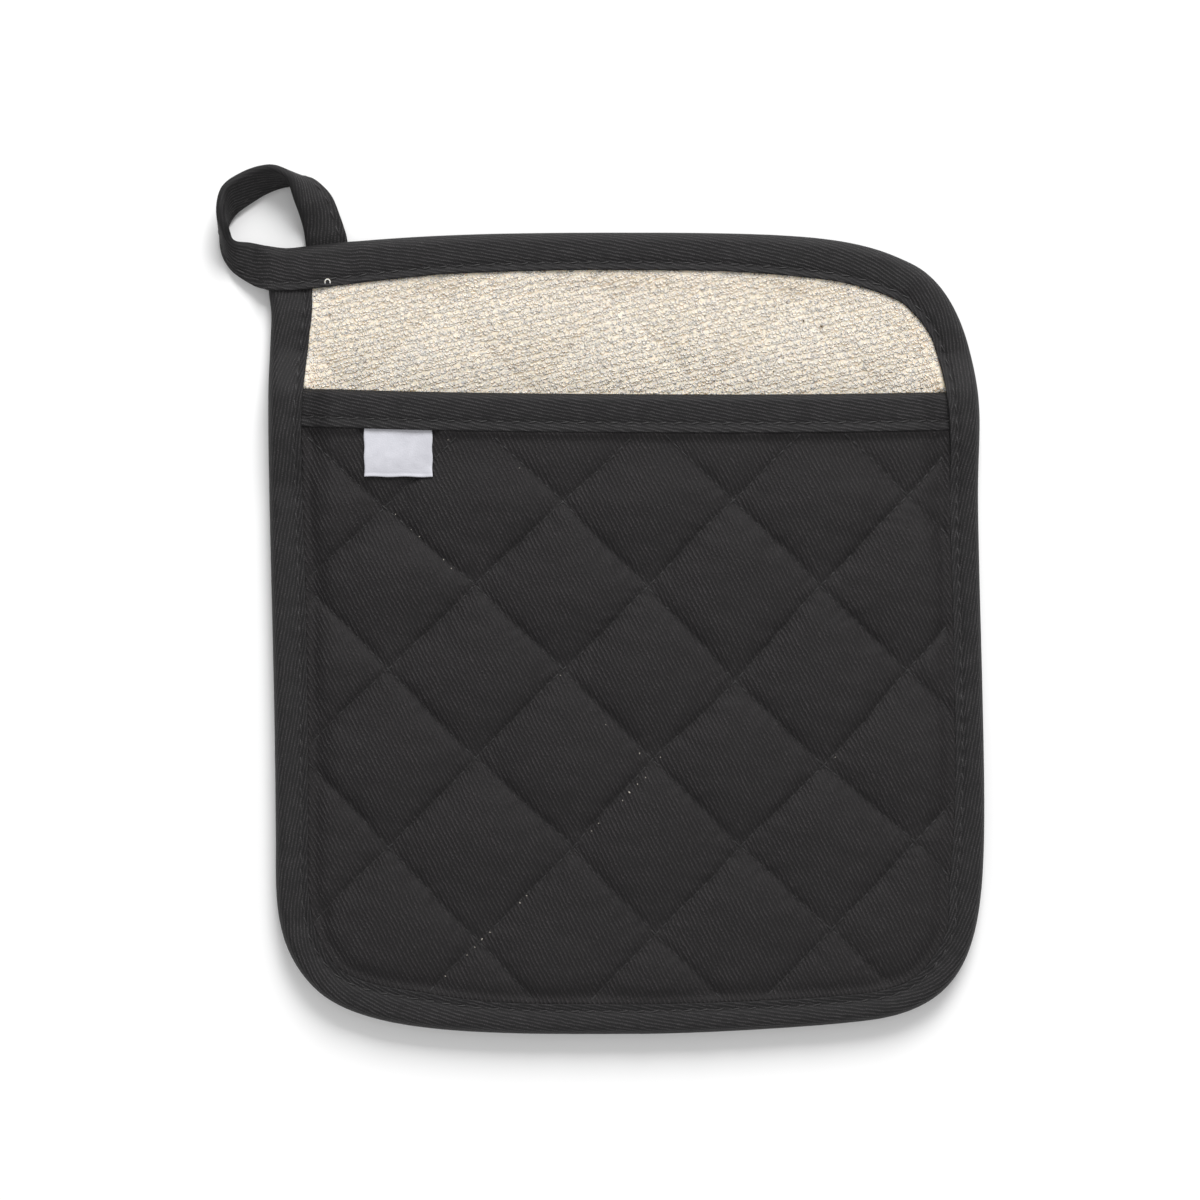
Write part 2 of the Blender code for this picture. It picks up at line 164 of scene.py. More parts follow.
def ripple(x, y, length, seed, waves=11):
    """Sum of straight waves of about this length in seeded random directions, mostly within -1 and 1."""
    draw = np.random.default_rng(seed)
    total = np.zeros(np.shape(x))
    for angle, phase, stretch in draw.uniform((0, 0, 0.7), (math.pi, 2 * math.pi, 1.4), (waves, 3)):
        across = x * math.cos(angle) + y * math.sin(angle)
        total = total + np.sin(across * 2.0 * math.pi / (length * stretch) + phase)
    return total / math.sqrt(waves)


def row_axes(row):
    """A row's first point, its direction, the square to that, and its points along and across them."""
    knots = np.array(row) * MM
    u = (knots[-1] - knots[0]) / np.linalg.norm(knots[-1] - knots[0])
    n = np.array([-u[1], u[0]])
    return knots[0], u, n, (knots - knots[0]) @ u, (knots - knots[0]) @ n


def stray(row, along):
    """How far a row leaves its straight line: through its points, and by two slow waves of 69 and 29 mm,
    shifted from row to row."""
    _, _, _, at, off = row_axes(row)
    waves = 0.22 * np.sin(along / (11.0 * MM) + row[0][0]) + 0.14 * np.sin(along / (4.6 * MM) + row[0][1])
    return np.interp(along, at, off) + waves * MM


def nearest_row(x, y, rows):
    """Distance to the nearest row of a set, and the place along it."""
    distances, places = [], []
    for row in rows:
        start, u, n, _, _ = row_axes(row)
        along = (x - start[0]) * u[0] + (y - start[1]) * u[1]
        across = (x - start[0]) * n[0] + (y - start[1]) * n[1]
        distances.append(np.abs(across - stray(row, along)))
        places.append(along)
    distances, places = np.stack(distances), np.stack(places)
    pick = distances.argmin(axis=0)[None]
    return np.take_along_axis(distances, pick, axis=0)[0], np.take_along_axis(places, pick, axis=0)[0]


def puff(x, y, falling, rising):
    """Padding between rows: 0 on a row, 1 in mid-diamond. From each set it rises as a steep share,
    1 - exp(-d / 1.5 mm), and a slow one, 1 - (1 - d/half)^2.2; the two sets are multiplied."""
    half, steep = 17.5 * MM, 0.30
    rise = []
    for rows in (falling, rising):
        d = nearest_row(x, y, rows)[0]
        slow = 1.0 - (1.0 - np.clip(d / half, 0.0, 1.0)) ** 2.2
        rise.append(steep * (1.0 - np.exp(-d / (1.5 * MM))) + (1.0 - steep) * slow)
    return (rise[0] * rise[1]) ** 0.85


def freed(x, y):
    """0 where the edge tape presses the layers, 1 where the padding is free."""
    distance, leg = to_edge(x, y)
    return ease((distance - leg + 1.5 * MM) / SHOULDER)


def pad_floor(free, soft):
    """The back panel's outer face: on the floor in mid-diamond, 0.7 mm up on a row, a hem up at the tape."""
    return HEM * (1.0 - free) + 0.7 * MM * free * (1.0 - np.clip(soft, 0.0, 1.0))


def pad_roof(free, soft):
    """Top of the wadding: 2.6 mm on a row and 3.4 mm in mid-diamond, pressed to a seam at the tape."""
    padded = (2.6 + 0.8 * soft) * MM
    return (HEM + SEAM) * (1.0 - free) + padded * free


def panel_sides():
    """The left and right edges, by rising Y, of a panel cut a hem inside the tape's fold."""
    rim = EDGE_POINTS + HEM * inward(EDGE_POINTS)
    corner = np.array([[rim[0, 0], rim[-1, 1]]])
    low, high = rim[:, 1].argmin(), rim[:, 1].argmax()
    sides = [np.concatenate([rim[high:], corner, rim[:low + 1]])[::-1], rim[low:high + 1]]
    return [np.stack([side[:, 0], np.maximum.accumulate(side[:, 1])], axis=1) for side in sides]


LEFT_SIDE, RIGHT_SIDE = panel_sides()


def side_x(side, y):
    """X of a panel's side at these heights in Y, by straight lines between its points."""
    return np.interp(y, side[:, 1], side[:, 0])


def panel_grid(rows_y, columns):
    """Points in even columns between the panel's sides, in rows of the given heights."""
    left_x, right_x = side_x(LEFT_SIDE, rows_y), side_x(RIGHT_SIDE, rows_y)
    t = np.linspace(0.0, 1.0, columns)[None]
    x = left_x[:, None] + (right_x - left_x)[:, None] * t
    return x, np.broadcast_to(rows_y[:, None], x.shape).copy()


def stepped_rows(foot, breaks):
    """Heights in Y from the foot: each stretch (end, spacing) filled evenly, 4n + 1 rows in all."""
    rows = [foot]
    for end, spacing in breaks:
        count = max(1, int(round((end - rows[-1]) / spacing)))
        rows += list(rows[-1] + (end - rows[-1]) * np.arange(1, count + 1) / count)
    spare = (len(rows) - 1) % 4
    return np.array(rows[:1] + rows[1 + spare:])


def add_mesh(name, points, polygons, finish, uv=None):
    """One object from points and arrays of faces, turned to face outwards by the sign of their volume."""
    corners = np.concatenate([faces.ravel() for faces in polygons]).astype(np.int32)
    sizes = np.concatenate([np.full(len(faces), faces.shape[1]) for faces in polygons])
    volume = 0.0
    for faces in polygons:
        a = points[faces[:, 0]]
        for k in range(1, faces.shape[1] - 1):
            volume += np.einsum("ij,ij->", a, np.cross(points[faces[:, k]], points[faces[:, k + 1]]))
    starts = np.concatenate([[0], np.cumsum(sizes)[:-1]]).astype(np.int32)
    if volume < 0.0:
        ends = starts + sizes
        turned = np.repeat(starts + ends - 1, sizes) - np.arange(len(corners))
        corners = corners[turned]
        uv = None if uv is None else uv[turned]
    mesh = bpy.data.meshes.new(name)
    mesh.vertices.add(len(points))
    mesh.vertices.foreach_set("co", points.astype(np.float32).ravel())
    mesh.loops.add(len(corners))
    mesh.loops.foreach_set("vertex_index", corners)
    mesh.polygons.add(len(sizes))
    mesh.polygons.foreach_set("loop_start", starts)
    mesh.polygons.foreach_set("use_smooth", np.ones(len(sizes), bool))
    if uv is not None:
        mesh.uv_layers.new(name="UVMap").data.foreach_set("uv", uv.astype(np.float32).ravel())
    mesh.update(calc_edges=True)
    mesh.materials.append(finish)
    obj = bpy.data.objects.new(name, mesh)
    bpy.context.scene.collection.objects.link(obj)
    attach(obj, "root")
    return obj


def grid_faces(rows, columns, start=0):
    """Quads of a grid of points stored row by row."""
    index = start + np.arange(rows * columns).reshape(rows, columns)
    quads = [index[:-1, :-1], index[:-1, 1:], index[1:, 1:], index[1:, :-1]]
    return np.stack(quads, axis=-1).reshape(-1, 4)


def closed_cloth(name, x, y, fine_z, coarse_z, finish):
    """A cloth closed all round: the side that shows is the whole grid, and the hidden side takes every
    fourth point of it, whose outer cells have many corners so as to meet the fine rim."""
    rows, columns = x.shape
    fine = np.stack([x, y, fine_z], axis=-1).reshape(-1, 3)
    ids = np.arange(rows * columns).reshape(rows, columns)
    ring = np.concatenate([ids[0, :-1], ids[:-1, -1], ids[-1, :0:-1], ids[:0:-1, 0]])
    hidden = np.stack([x, y, coarse_z], axis=-1).reshape(-1, 3)
    inner = ids[4:-4:4, 4:-4:4]
    start = rows * columns
    rim = np.full((rows, columns), -1)
    rim.ravel()[ring] = start + np.arange(len(ring))
    rim[4:-4:4, 4:-4:4] = start + len(ring) + np.arange(inner.size).reshape(inner.shape)
    points = np.concatenate([fine, hidden[ring], hidden[inner.ravel()]])
    lattice = rim[::4, ::4]
    middle = np.stack([lattice[1:-2, 1:-2], lattice[2:-1, 1:-2],
                       lattice[2:-1, 2:-1], lattice[1:-2, 2:-1]], axis=-1)
    polygons = [grid_faces(rows, columns), middle.reshape(-1, 4)]
    wall = np.stack([ring, np.roll(ring, -1), rim.ravel()[np.roll(ring, -1)], rim.ravel()[ring]], axis=1)
    polygons.append(wall[:, ::-1])
    across = np.arange(4, columns - 5, 4)[:, None]
    up = np.arange(4, rows - 5, 4)[:, None]
    step = np.arange(5)[None]
    for edge_row, inner_row, turn in ((0, 4, 1), (rows - 1, rows - 5, -1)):
        outer = rim[edge_row, across + step]
        cell = np.concatenate([outer[:, ::-1], rim[inner_row, across], rim[inner_row, across + 4]], axis=1)
        polygons.append(cell[:, ::turn])
    for edge_column, inner_column, turn in ((0, 4, -1), (columns - 1, columns - 5, 1)):
        outer = rim[up + step, edge_column]
        cell = np.concatenate([outer[:, ::-1], rim[up, inner_column], rim[up + 4, inner_column]], axis=1)
        polygons.append(cell[:, ::turn])
    for row, inner_row in ((0, 4), (rows - 1, rows - 5)):
        for column, inner_column in ((0, 4), (columns - 1, columns - 5)):
            along_row = rim[row, np.linspace(inner_column, column, 5).astype(int)]
            along_column = rim[np.linspace(row, inner_row, 5).astype(int), column][1:]
            turn = 1 if (row == 0) == (column == 0) else -1
            cell = np.concatenate([along_row, along_column, [rim[inner_row, inner_column]]])
            polygons.append(cell[None, ::turn])
    return add_mesh(name, points, polygons, finish)


def linear(colour):
    """Linear RGBA from an sRGB hex colour."""
    parts = [int(colour[i:i + 2], 16) / 255.0 for i in (1, 3, 5)]
    return tuple(c / 12.92 if c <= 0.04045 else ((c + 0.055) / 1.055) ** 2.4 for c in parts) + (1.0,)


def new_finish(name, **sockets):
    """A Principled material with these sockets set; returns the material and its shader node."""
    made = bpy.data.materials.new(name)
    made.use_nodes = True
    shader = made.node_tree.nodes["Principled BSDF"]
    for key, value in sockets.items():
        shader.inputs[key.replace("_", " ")].default_value = value
    return made, shader


def add_node(tree, kind, inputs=(), **settings):
    """Adds a node, sets its properties, and sets or links its inputs, each given as (socket, value). The
    value may be a node's output, or a node, whose first output is linked."""
    made = tree.nodes.new(kind)
    for key, value in settings.items():
        setattr(made, key, value)
    for socket, value in inputs:
        value = value.outputs[0] if isinstance(value, bpy.types.Node) else value
        if isinstance(value, bpy.types.NodeSocket):
            tree.links.new(value, made.inputs[socket])
        else:
            made.inputs[socket].default_value = value
    return made


def twill(name, pitch, heading, ground, wale, coordinates, bump, calm=0.0):
    """Cotton twill, piece dyed: dark cloth with a low lustre, whose diagonal wales show by the light that
    they catch, by bump and by painted light: the colour is painted lighter on each wale's ridge as a
    highlight and darker in the grooves between as shade. Each wale is a row of short floats; pitch is
    from wale to wale and heading the wale's direction in degrees. On a tape V is the distance from the
    fold, and calm that over which the wales, their painted highlight with them, grow from faint to full."""
    made, shader = new_finish(name, Roughness=0.72, Specular_IOR_Level=0.32)
    tree = made.node_tree
    place = add_node(tree, "ShaderNodeTexCoord").outputs[coordinates]
    turned = add_node(tree, "ShaderNodeMapping", [
        ("Vector", place), ("Rotation", (0.0, 0.0, math.radians(-heading))), ("Scale", (1.0 / pitch,) * 3)])
    split = add_node(tree, "ShaderNodeSeparateXYZ", [("Vector", turned)])
    # The wales wander by 0.7 of a pitch over 9 mm, and by 0.55 over 1.2 mm.
    slow = add_node(tree, "ShaderNodeTexNoise", [
        ("Vector", place), ("Scale", 1.0 / (9.0 * MM)), ("Detail", 2.0)])
    quick = add_node(tree, "ShaderNodeTexNoise", [
        ("Vector", place), ("Scale", 1.0 / (1.2 * MM)), ("Detail", 1.0)])
    bent = add_node(tree, "ShaderNodeMath", [
        (0, slow), (1, 0.7), (2, split.outputs[1])], operation="MULTIPLY_ADD")
    bent = add_node(tree, "ShaderNodeMath", [(0, quick), (1, 0.55), (2, bent)], operation="MULTIPLY_ADD")
    phase = add_node(tree, "ShaderNodeMath", [(0, bent), (1, 2.0 * math.pi)], operation="MULTIPLY")
    ridge = add_node(tree, "ShaderNodeMath", [(0, phase)], operation="SINE")
    ridge = add_node(tree, "ShaderNodeMapRange", [("Value", ridge), ("From Min", -1.0), ("From Max", 1.0)])
    ridge = add_node(tree, "ShaderNodeMath", [(0, ridge), (1, 2.0)], operation="POWER")
    # Floats along a wale, one and a half to each pitch, staggered from wale to wale.
    stagger = add_node(tree, "ShaderNodeMath", [(0, split), (1, 1.55), (2, bent)], operation="MULTIPLY_ADD")
    stagger = add_node(tree, "ShaderNodeMath", [(0, stagger), (1, 2.0 * math.pi)], operation="MULTIPLY")
    floats = add_node(tree, "ShaderNodeMath", [(0, stagger)], operation="SINE")
    floats = add_node(tree, "ShaderNodeMapRange", [
        ("Value", floats), ("From Min", -1.0), ("From Max", 1.0), ("To Min", 0.45), ("To Max", 1.0)])
    thread = add_node(tree, "ShaderNodeMath", [(0, ridge), (1, floats)], operation="MULTIPLY")
    if calm:
        sides = add_node(tree, "ShaderNodeSeparateXYZ", [("Vector", place)])
        depth = add_node(tree, "ShaderNodeMath", [(0, sides.outputs[1])], operation="ABSOLUTE")
        grown = add_node(tree, "ShaderNodeMapRange", [
            ("Value", depth), ("From Min", 0.35 * calm), ("From Max", calm), ("To Min", 0.3)])
        thread = add_node(tree, "ShaderNodeMath", [(0, thread), (1, grown)], operation="MULTIPLY")
    # Painted highlight on the wales in patches about 3 mm wide, and fuzz of half a millimetre that breaks
    # the wales up.
    patch = add_node(tree, "ShaderNodeTexNoise", [
        ("Vector", place), ("Scale", 1.0 / (3.2 * MM)), ("Detail", 3.0)])
    patch = add_node(tree, "ShaderNodeMapRange", [
        ("Value", patch), ("From Min", 0.35), ("From Max", 0.68), ("To Min", 0.45), ("To Max", 1.15)])
    fuzz = add_node(tree, "ShaderNodeTexNoise", [
        ("Vector", place), ("Scale", 1.0 / (0.5 * MM)), ("Detail", 2.0)])
    broken = add_node(tree, "ShaderNodeMapRange", [
        ("Value", fuzz), ("From Min", 0.3), ("From Max", 0.7), ("To Min", 0.35), ("To Max", 1.5)])
    patch = add_node(tree, "ShaderNodeMath", [(0, patch), (1, broken)], operation="MULTIPLY")
    light = add_node(tree, "ShaderNodeMath", [(0, thread), (1, patch)], operation="MULTIPLY", use_clamp=True)
    # The colour paints the wales: the ground colour as painted shade in the grooves, the wale colour as
    # painted highlight on the ridges.
    colour = add_node(tree, "ShaderNodeMix", [
        ("Factor", light), (6, linear(ground)), (7, linear(wale))], data_type="RGBA")
    tree.links.new(colour.outputs[2], shader.inputs["Base Color"])
    height = add_node(tree, "ShaderNodeMath", [(0, fuzz), (1, 0.4), (2, light)], operation="MULTIPLY_ADD")
    relief = add_node(tree, "ShaderNodeBump", [("Height", height), ("Distance", bump)])
    tree.links.new(relief.outputs[0], shader.inputs["Normal"])
    return made


PANEL_FOOT, PANEL_TOP = -121.9 * MM, 103.0 * MM
PANEL_WALE, PANEL_CLIMB = 1.12 * MM, 117.0
panel_twill = twill("black_cotton_twill", PANEL_WALE, PANEL_CLIMB, "#151314", "#393637", "Object", 0.28 * MM)

rows_y = stepped_rows(PANEL_FOOT, [(-121.0 * MM, 0.25 * MM), (PANEL_TOP, 1.25 * MM)])
x, y = panel_grid(rows_y, 4 * 42 + 1)
free, soft = freed(x, y), puff(x, y, PAD_FALLING, PAD_RISING)
back_panel = closed_cloth("back_panel_quilted", x, y, pad_floor(free, soft), pad_roof(free, soft),
                          panel_twill)
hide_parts("back_panel")

# ---------------------------------------------------------------------------------------------
# Terry lining: unbleached cotton terry, quilted with the pad. Its pile of small yarn loops stands in
# rows that climb to the right; where the mouth leaves it bare the loops are real yarn.
# ---------------------------------------------------------------------------------------------

BARE_FROM = 42.0 * MM
# The pile's roll beside the edge tape: its height, how far it runs out from the tape and in under it.
ROLL, ROLL_OUT, ROLL_IN = 0.95 * MM, 4.2 * MM, 0.9 * MM
TERRY_CORNER = (-84.0 * MM, 90.5 * MM)
MOUTH_END_FILL = 2.3 * MM


def terry_floor(free, soft):
    """Underside of the terry, half a gap over the wadding."""
    return pad_roof(free, soft) + GAP * 0.5


def terry_roof(x, y, free, soft):
    """The terry's face. Beside the edge tape the pile is pushed up into a soft roll, which dies away at the
    top left corner, and just above the mouth's ends it fills the room under the tape's raised leg."""
    distance, leg = to_edge(x, y)
    gap = distance - leg
    roll = ROLL * np.exp(-(gap / np.where(gap > 0.0, ROLL_OUT, ROLL_IN)) ** 2)
    roll = roll * ease(np.hypot(x - TERRY_CORNER[0], y - TERRY_CORNER[1]) / (8.0 * MM))
    above = y - mouth_y(x)
    fill = MOUTH_END_FILL * ease((above + 2.0 * MM) / (3.0 * MM)) * ease((11.0 * MM - above) / (11.0 * MM))
    fill = fill * np.exp(-(np.maximum(gap, 0.0) / (2.2 * MM)) ** 2)
    return pad_roof(free, soft) + GAP + TERRY - 0.25 * MM + roll + fill


def terry_at(x, y):
    """The terry's face at any points."""
    return terry_roof(x, y, freed(x, y), puff(x, y, PAD_FALLING, PAD_RISING))


def terry_yarn(name):
    """Unbleached terry: soft cream cotton yarn, matt and a little see-through at its edges, its colour a
    little lighter or darker at random in slow patches and quick ones."""
    made, shader = new_finish(name, Roughness=0.95, Specular_IOR_Level=0.15, Subsurface_Weight=0.8,
                              Subsurface_Radius=(1.0, 0.9, 0.75), Subsurface_Scale=1.15 * MM)
    tree = made.node_tree
    place = add_node(tree, "ShaderNodeTexCoord").outputs["Object"]
    slow = add_node(tree, "ShaderNodeTexNoise", [
        ("Vector", place), ("Scale", 1.0 / (14.0 * MM)), ("Detail", 3.0)])
    quick = add_node(tree, "ShaderNodeTexNoise", [
        ("Vector", place), ("Scale", 1.0 / (1.3 * MM)), ("Detail", 2.0)])
    mixed = add_node(tree, "ShaderNodeMath", [(0, slow), (1, 0.6), (2, quick)], operation="MULTIPLY_ADD")
    part = add_node(tree, "ShaderNodeMapRange", [("Value", mixed), ("From Min", 0.55), ("From Max", 1.05)])
    colour = add_node(tree, "ShaderNodeMix", [
        ("Factor", part), (6, linear("#F4E5CF")), (7, linear("#F8EAD8"))], data_type="RGBA")
    tree.links.new(colour.outputs[2], shader.inputs["Base Color"])
    fuzz = add_node(tree, "ShaderNodeTexNoise", [
        ("Vector", place), ("Scale", 1.0 / (0.4 * MM)), ("Detail", 2.0)])
    relief = add_node(tree, "ShaderNodeBump", [("Height", fuzz), ("Distance", 0.04 * MM)])
    tree.links.new(relief.outputs[0], shader.inputs["Normal"])
    return made


terry_finish = terry_yarn("unbleached_terry_cotton")

rows_y = stepped_rows(PANEL_FOOT, [(-121.0 * MM, 0.25 * MM), (BARE_FROM, 2.4 * MM), (PANEL_TOP, 0.8 * MM)])
x, y = panel_grid(rows_y, 4 * 62 + 1)
free, soft = freed(x, y), puff(x, y, PAD_FALLING, PAD_RISING)
nap = free * 0.12 * MM * ripple(x, y, 2.3 * MM, 5)
terry_face = closed_cloth("terry_face", x, y, terry_roof(x, y, free, soft) + nap,
                          terry_floor(free, soft), terry_finish)


def yarn_mesh(name, centre, reference, radius, sides, finish):
    """Many short yarns at once. centre is (yarns, rings, 3), reference a vector near each ring's side
    direction, radius one value a ring. A ring is a polygon square to the yarn; both ends are closed."""
    count, rings, _ = centre.shape
    along = of_length_one(np.gradient(centre, axis=1))
    side = of_length_one(reference - (reference * along).sum(axis=2)[..., None] * along)
    other = np.cross(along, side)
    turn = 2.0 * math.pi * np.arange(sides) / sides
    ring = side[:, :, None] * np.cos(turn)[:, None] + other[:, :, None] * np.sin(turn)[:, None]
    points = centre[:, :, None] + ring * np.asarray(radius)[..., None, None]
    index = np.arange(count * rings * sides).reshape(count, rings, sides)
    after = np.roll(index, -1, axis=2)
    quads = np.stack([index[:, :-1], after[:, :-1], after[:, 1:], index[:, 1:]], axis=-1).reshape(-1, 4)
    return add_mesh(name, points.reshape(-1, 3), [quads, index[:, 0, ::-1], index[:, -1]], finish)


def pile_loops(name, x, y, height, reach, heading, lean, seed):
    """Terry loops. Each is an arch along its heading that closes towards a ring: reach * -cos and
    height * sin of a turn, pushed sideways by lean * sin, so that it lies over, and curled by a second
    sideways wave. Its feet are 0.08 mm under the terry's face."""
    draw = np.random.default_rng(seed)
    turn = np.linspace(-0.7, math.pi + 0.7, 7)[None]
    base = terry_at(x, y) - 0.08 * MM
    curl = draw.uniform(-0.2, 0.2, x.shape)[:, None] * MM
    forward = -reach[:, None] * np.cos(turn)
    sideways = lean[:, None] * np.sin(turn) + curl * np.sin(2.0 * turn)
    dx, dy = np.cos(heading)[:, None], np.sin(heading)[:, None]
    centre = np.stack([x[:, None] + forward * dx - sideways * dy, y[:, None] + forward * dy + sideways * dx,
                       base[:, None] + height[:, None] * np.sin(turn)], axis=-1)
    reference = np.stack([-dy, dx, np.zeros_like(dx)], axis=-1) + np.zeros_like(centre)
    thickness = draw.uniform(0.19, 0.25, (len(x), 1)) * MM * np.ones(turn.shape)
    return yarn_mesh(name, centre, reference, thickness, 4, terry_finish)


TERRY_CLIMB = math.radians(13.0)
TERRY_PITCH = 2.15 * MM
FILE_APART = 0.72 * MM
LOOP_STEP = 0.94 * MM


def pile_places(seed):
    """Where the loops stand: two files to each row of pile, 0.72 mm apart, with a loop every 0.94 mm along
    them, jittered and kept inside the tapes and down to 8 mm inside the mouth."""
    draw = np.random.default_rng(seed)
    file = np.arange(-30, 130)
    across = (file // 2) * TERRY_PITCH + (file % 2) * FILE_APART
    along = np.arange(-125.0, 135.0, LOOP_STEP / MM) * MM
    u, v = np.meshgrid(along, across)
    u = u + draw.uniform(-0.4, 0.4, u.shape) * MM
    v = v + draw.uniform(-0.14, 0.14, u.shape) * MM
    x = u * math.cos(TERRY_CLIMB) - v * math.sin(TERRY_CLIMB)
    y = u * math.sin(TERRY_CLIMB) + v * math.cos(TERRY_CLIMB)
    keep = (y > mouth_y(x) - 8.0 * MM) & (x > side_x(LEFT_SIDE, y)) & (x < side_x(RIGHT_SIDE, y))
    x, y = x[keep & (y < 94.5 * MM)], y[keep & (y < 94.5 * MM)]
    distance, edge_leg = to_edge(x, y)
    inside = distance > edge_leg + draw.uniform(-0.4, 0.2, x.shape) * MM
    return x[inside], y[inside]


# A loop heads along its row, give or take 35 degrees, and lies over by about 0.6 mm. It stands 0.12 to
# 0.28 mm high and reaches 0.4 to 0.72 mm to either side.
x, y = pile_places(11)
draw = np.random.default_rng(12)
heading = TERRY_CLIMB + draw.normal(0.0, 0.6, x.shape)
lean = draw.normal(-0.62, 0.22, x.shape) * MM
height = draw.uniform(0.12, 0.28, x.shape) * MM
reach = draw.uniform(0.4, 0.72, x.shape) * MM
order = draw.permutation(len(x))
for name, part, seed in (("terry_loops_first", order[0::2], 13), ("terry_loops_second", order[1::2], 14)):
    pile_loops(name, x[part], y[part], height[part], reach[part],
                                   heading[part], lean[part], seed)

# Flecks of cotton seed in the pile, mm: x, y, size.
FLECKS = np.array([(57.9, 79.5, 0.26), (63.0, 77.8, 0.34), (49.4, 65.0, 0.24), (-76.7, 81.0, 0.24)]) * MM


def pile_top(x, y):
    """Height at which a fleck lies in the pile."""
    return terry_at(x, y) + 0.4 * MM


def tufts(name, places, surface, finish, seed):
    """Tiny tufts of fibre: each a short bent yarn that lies on the cloth, thickest in its middle."""
    draw = np.random.default_rng(seed)
    turn = draw.uniform(0.0, math.pi, len(places))
    t = np.array([-1.0, -0.4, 0.4, 1.0])
    size = places[:, 2]
    x = places[:, 0, None] + np.cos(turn)[:, None] * t * size[:, None] * 1.3
    y = places[:, 1, None] + np.sin(turn)[:, None] * t * size[:, None] * 1.3
    z = surface(x, y) + size[:, None] * np.array([0.0, 0.5, 0.6, 0.1])
    centre = np.stack([x, y, z], axis=-1)
    side = np.stack([-np.sin(turn), np.cos(turn), np.zeros(len(turn))], axis=1)[:, None]
    radius = size[:, None] * np.array([0.3, 0.75, 0.7, 0.25])
    return yarn_mesh(name, centre, side + np.zeros_like(centre), radius, 6, finish)


seed_brown = new_finish("cotton_seed_fleck", Base_Color=linear("#5E4C36"), Roughness=0.9)[0]
tufts("terry_flecks", FLECKS, pile_top, seed_brown, 15)

# One loose loop of the pile has come out over the top tape near its left end.
LOOSE_X, LOOSE_Y = -77.4 * MM, 90.2 * MM
turn = np.linspace(-0.38 * math.pi, 1.32 * math.pi, 12)
centre = np.stack([LOOSE_X + 0.75 * MM * np.cos(turn), LOOSE_Y + 0.95 * MM * np.sin(turn),
                   2.0 * HEM + SEAM + GAP + TERRY + 0.15 * MM * np.sin(turn)], axis=-1)[None]
upright = np.zeros_like(centre) + np.array([0.0, 0.0, 1.0])
radius = np.full((1, len(turn)), 0.2 * MM)
yarn_mesh("terry_loose_loop", centre, upright, radius, 6, terry_finish)

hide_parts("terry_lining")

# ---------------------------------------------------------------------------------------------
# Front pocket: black cotton twill quilted over its own wadding. It is bound in with the pad at the
# sides and foot, and its mouth stands open a little so that a hand finds the way in.
# ---------------------------------------------------------------------------------------------

POCKET_CREST = 4.9 * MM
POCKET_TROUGH = 1.7 * MM
HOLLOW = 7.0 * MM
POCKET_ROLL = 1.25 * MM
LABEL_ROOM = (-69.2 * MM, -44.6 * MM)

# Rows of the pocket's quilting, each by points on it, mm.
FALLING = [((76.4, 39.7), (87.0, 29.5), (97.6, 19.4)),
           ((37.6, 28.1), (62.3, 4.1), (87.0, -19.9)),
           ((-10.5, 27.4), (13.6, 3.8), (38.3, -23.3), (63.7, -46.8), (89.2, -68.7)),
           ((-61.3, 26.0), (-35.2, 4.4), (-10.5, -19.9), (15.0, -44.8), (39.7, -70.1), (65.8, -93.4)),
           ((-59.9, -19.6), (-35.2, -44.8), (-7.6, -70.1), (15.7, -94.8)),
           ((-59.9, -70.1), (-34.5, -96.9))]
RISING = [((-71.9, 16.0), (-61.3, 26.0), (-50.7, 36.0)),
          ((-59.9, -19.6), (-35.2, 4.4), (-10.5, 27.4)),
          ((-59.9, -70.1), (-35.2, -44.8), (-10.5, -19.9), (13.6, 3.8), (37.6, 28.1)),
          ((-34.5, -96.9), (-7.6, -70.1), (15.0, -44.8), (38.3, -23.3), (62.3, 4.1), (87.0, 29.5)),
          ((15.7, -94.8), (39.7, -70.1), (63.7, -46.8), (87.0, -19.9)),
          ((65.8, -93.4), (89.2, -68.7))]


def mouth_lift(x, y):
    """Room under the mouth for the tape's lower leg, closing over 30 mm below it and half pressed out at
    the sides."""
    room = 0.8 + 0.7 * ease(np.minimum(x / MM - MOUTH_LEFT[0], MOUTH_RIGHT[0] - x / MM) / 22.0)
    return room * MM * ease((30.0 * MM - (mouth_y(x) - y)) / (30.0 * MM - STRIP))


def hollow(x, y):
    """How far the pocket stands off the terry: an arch from side to side that grows to the mouth."""
    across = 2.0 * (x / MM - MOUTH_LEFT[0]) / (MOUTH_RIGHT[0] - MOUTH_LEFT[0]) - 1.0
    along = np.clip((y - EDGE_FOOT) / (mouth_y(x) - EDGE_FOOT), 0.0, 1.0)
    return HOLLOW * np.clip(1.0 - np.abs(across) ** 2.5, 0.0, 1.0) * along ** 1.3


def pocket_floor(x, y):
    """The pocket's inner face: over the terry, lifted at the mouth, and arched where no tape presses it."""
    distance, leg = to_edge(x, y)
    free = ease((distance - leg - 1.5 * MM) / SHOULDER)
    return HEM + SEAM + GAP + TERRY + GAP + mouth_lift(x, y) + (0.6 * MM + hollow(x, y)) * free


def pocket_free(x, y):
    """0 where either tape presses the pocket, 1 where its wadding is free."""
    distance, leg = to_edge(x, y)
    from_mouth = (mouth_y(x) - y - MOUTH_LEG + 1.8 * MM) / (22.0 * MM)
    return ease(np.minimum(from_mouth, (distance - leg + 1.8 * MM) / SHOULDER))


def puckers(x, y):
    """Small creases that the thread's pull leaves square to each row, fading within a few mm of it."""
    total = np.zeros(np.shape(x))
    for rows in (FALLING, RISING):
        distance, along = nearest_row(x, y, rows)
        wave = np.sin(along * 2.0 * math.pi / (6.4 * MM) + 3.0 * ripple(x, y, 18.0 * MM, 21))
        total = total + wave * np.exp(-distance / (2.6 * MM)) * (1.0 - np.exp(-distance / (0.8 * MM)))
    return total


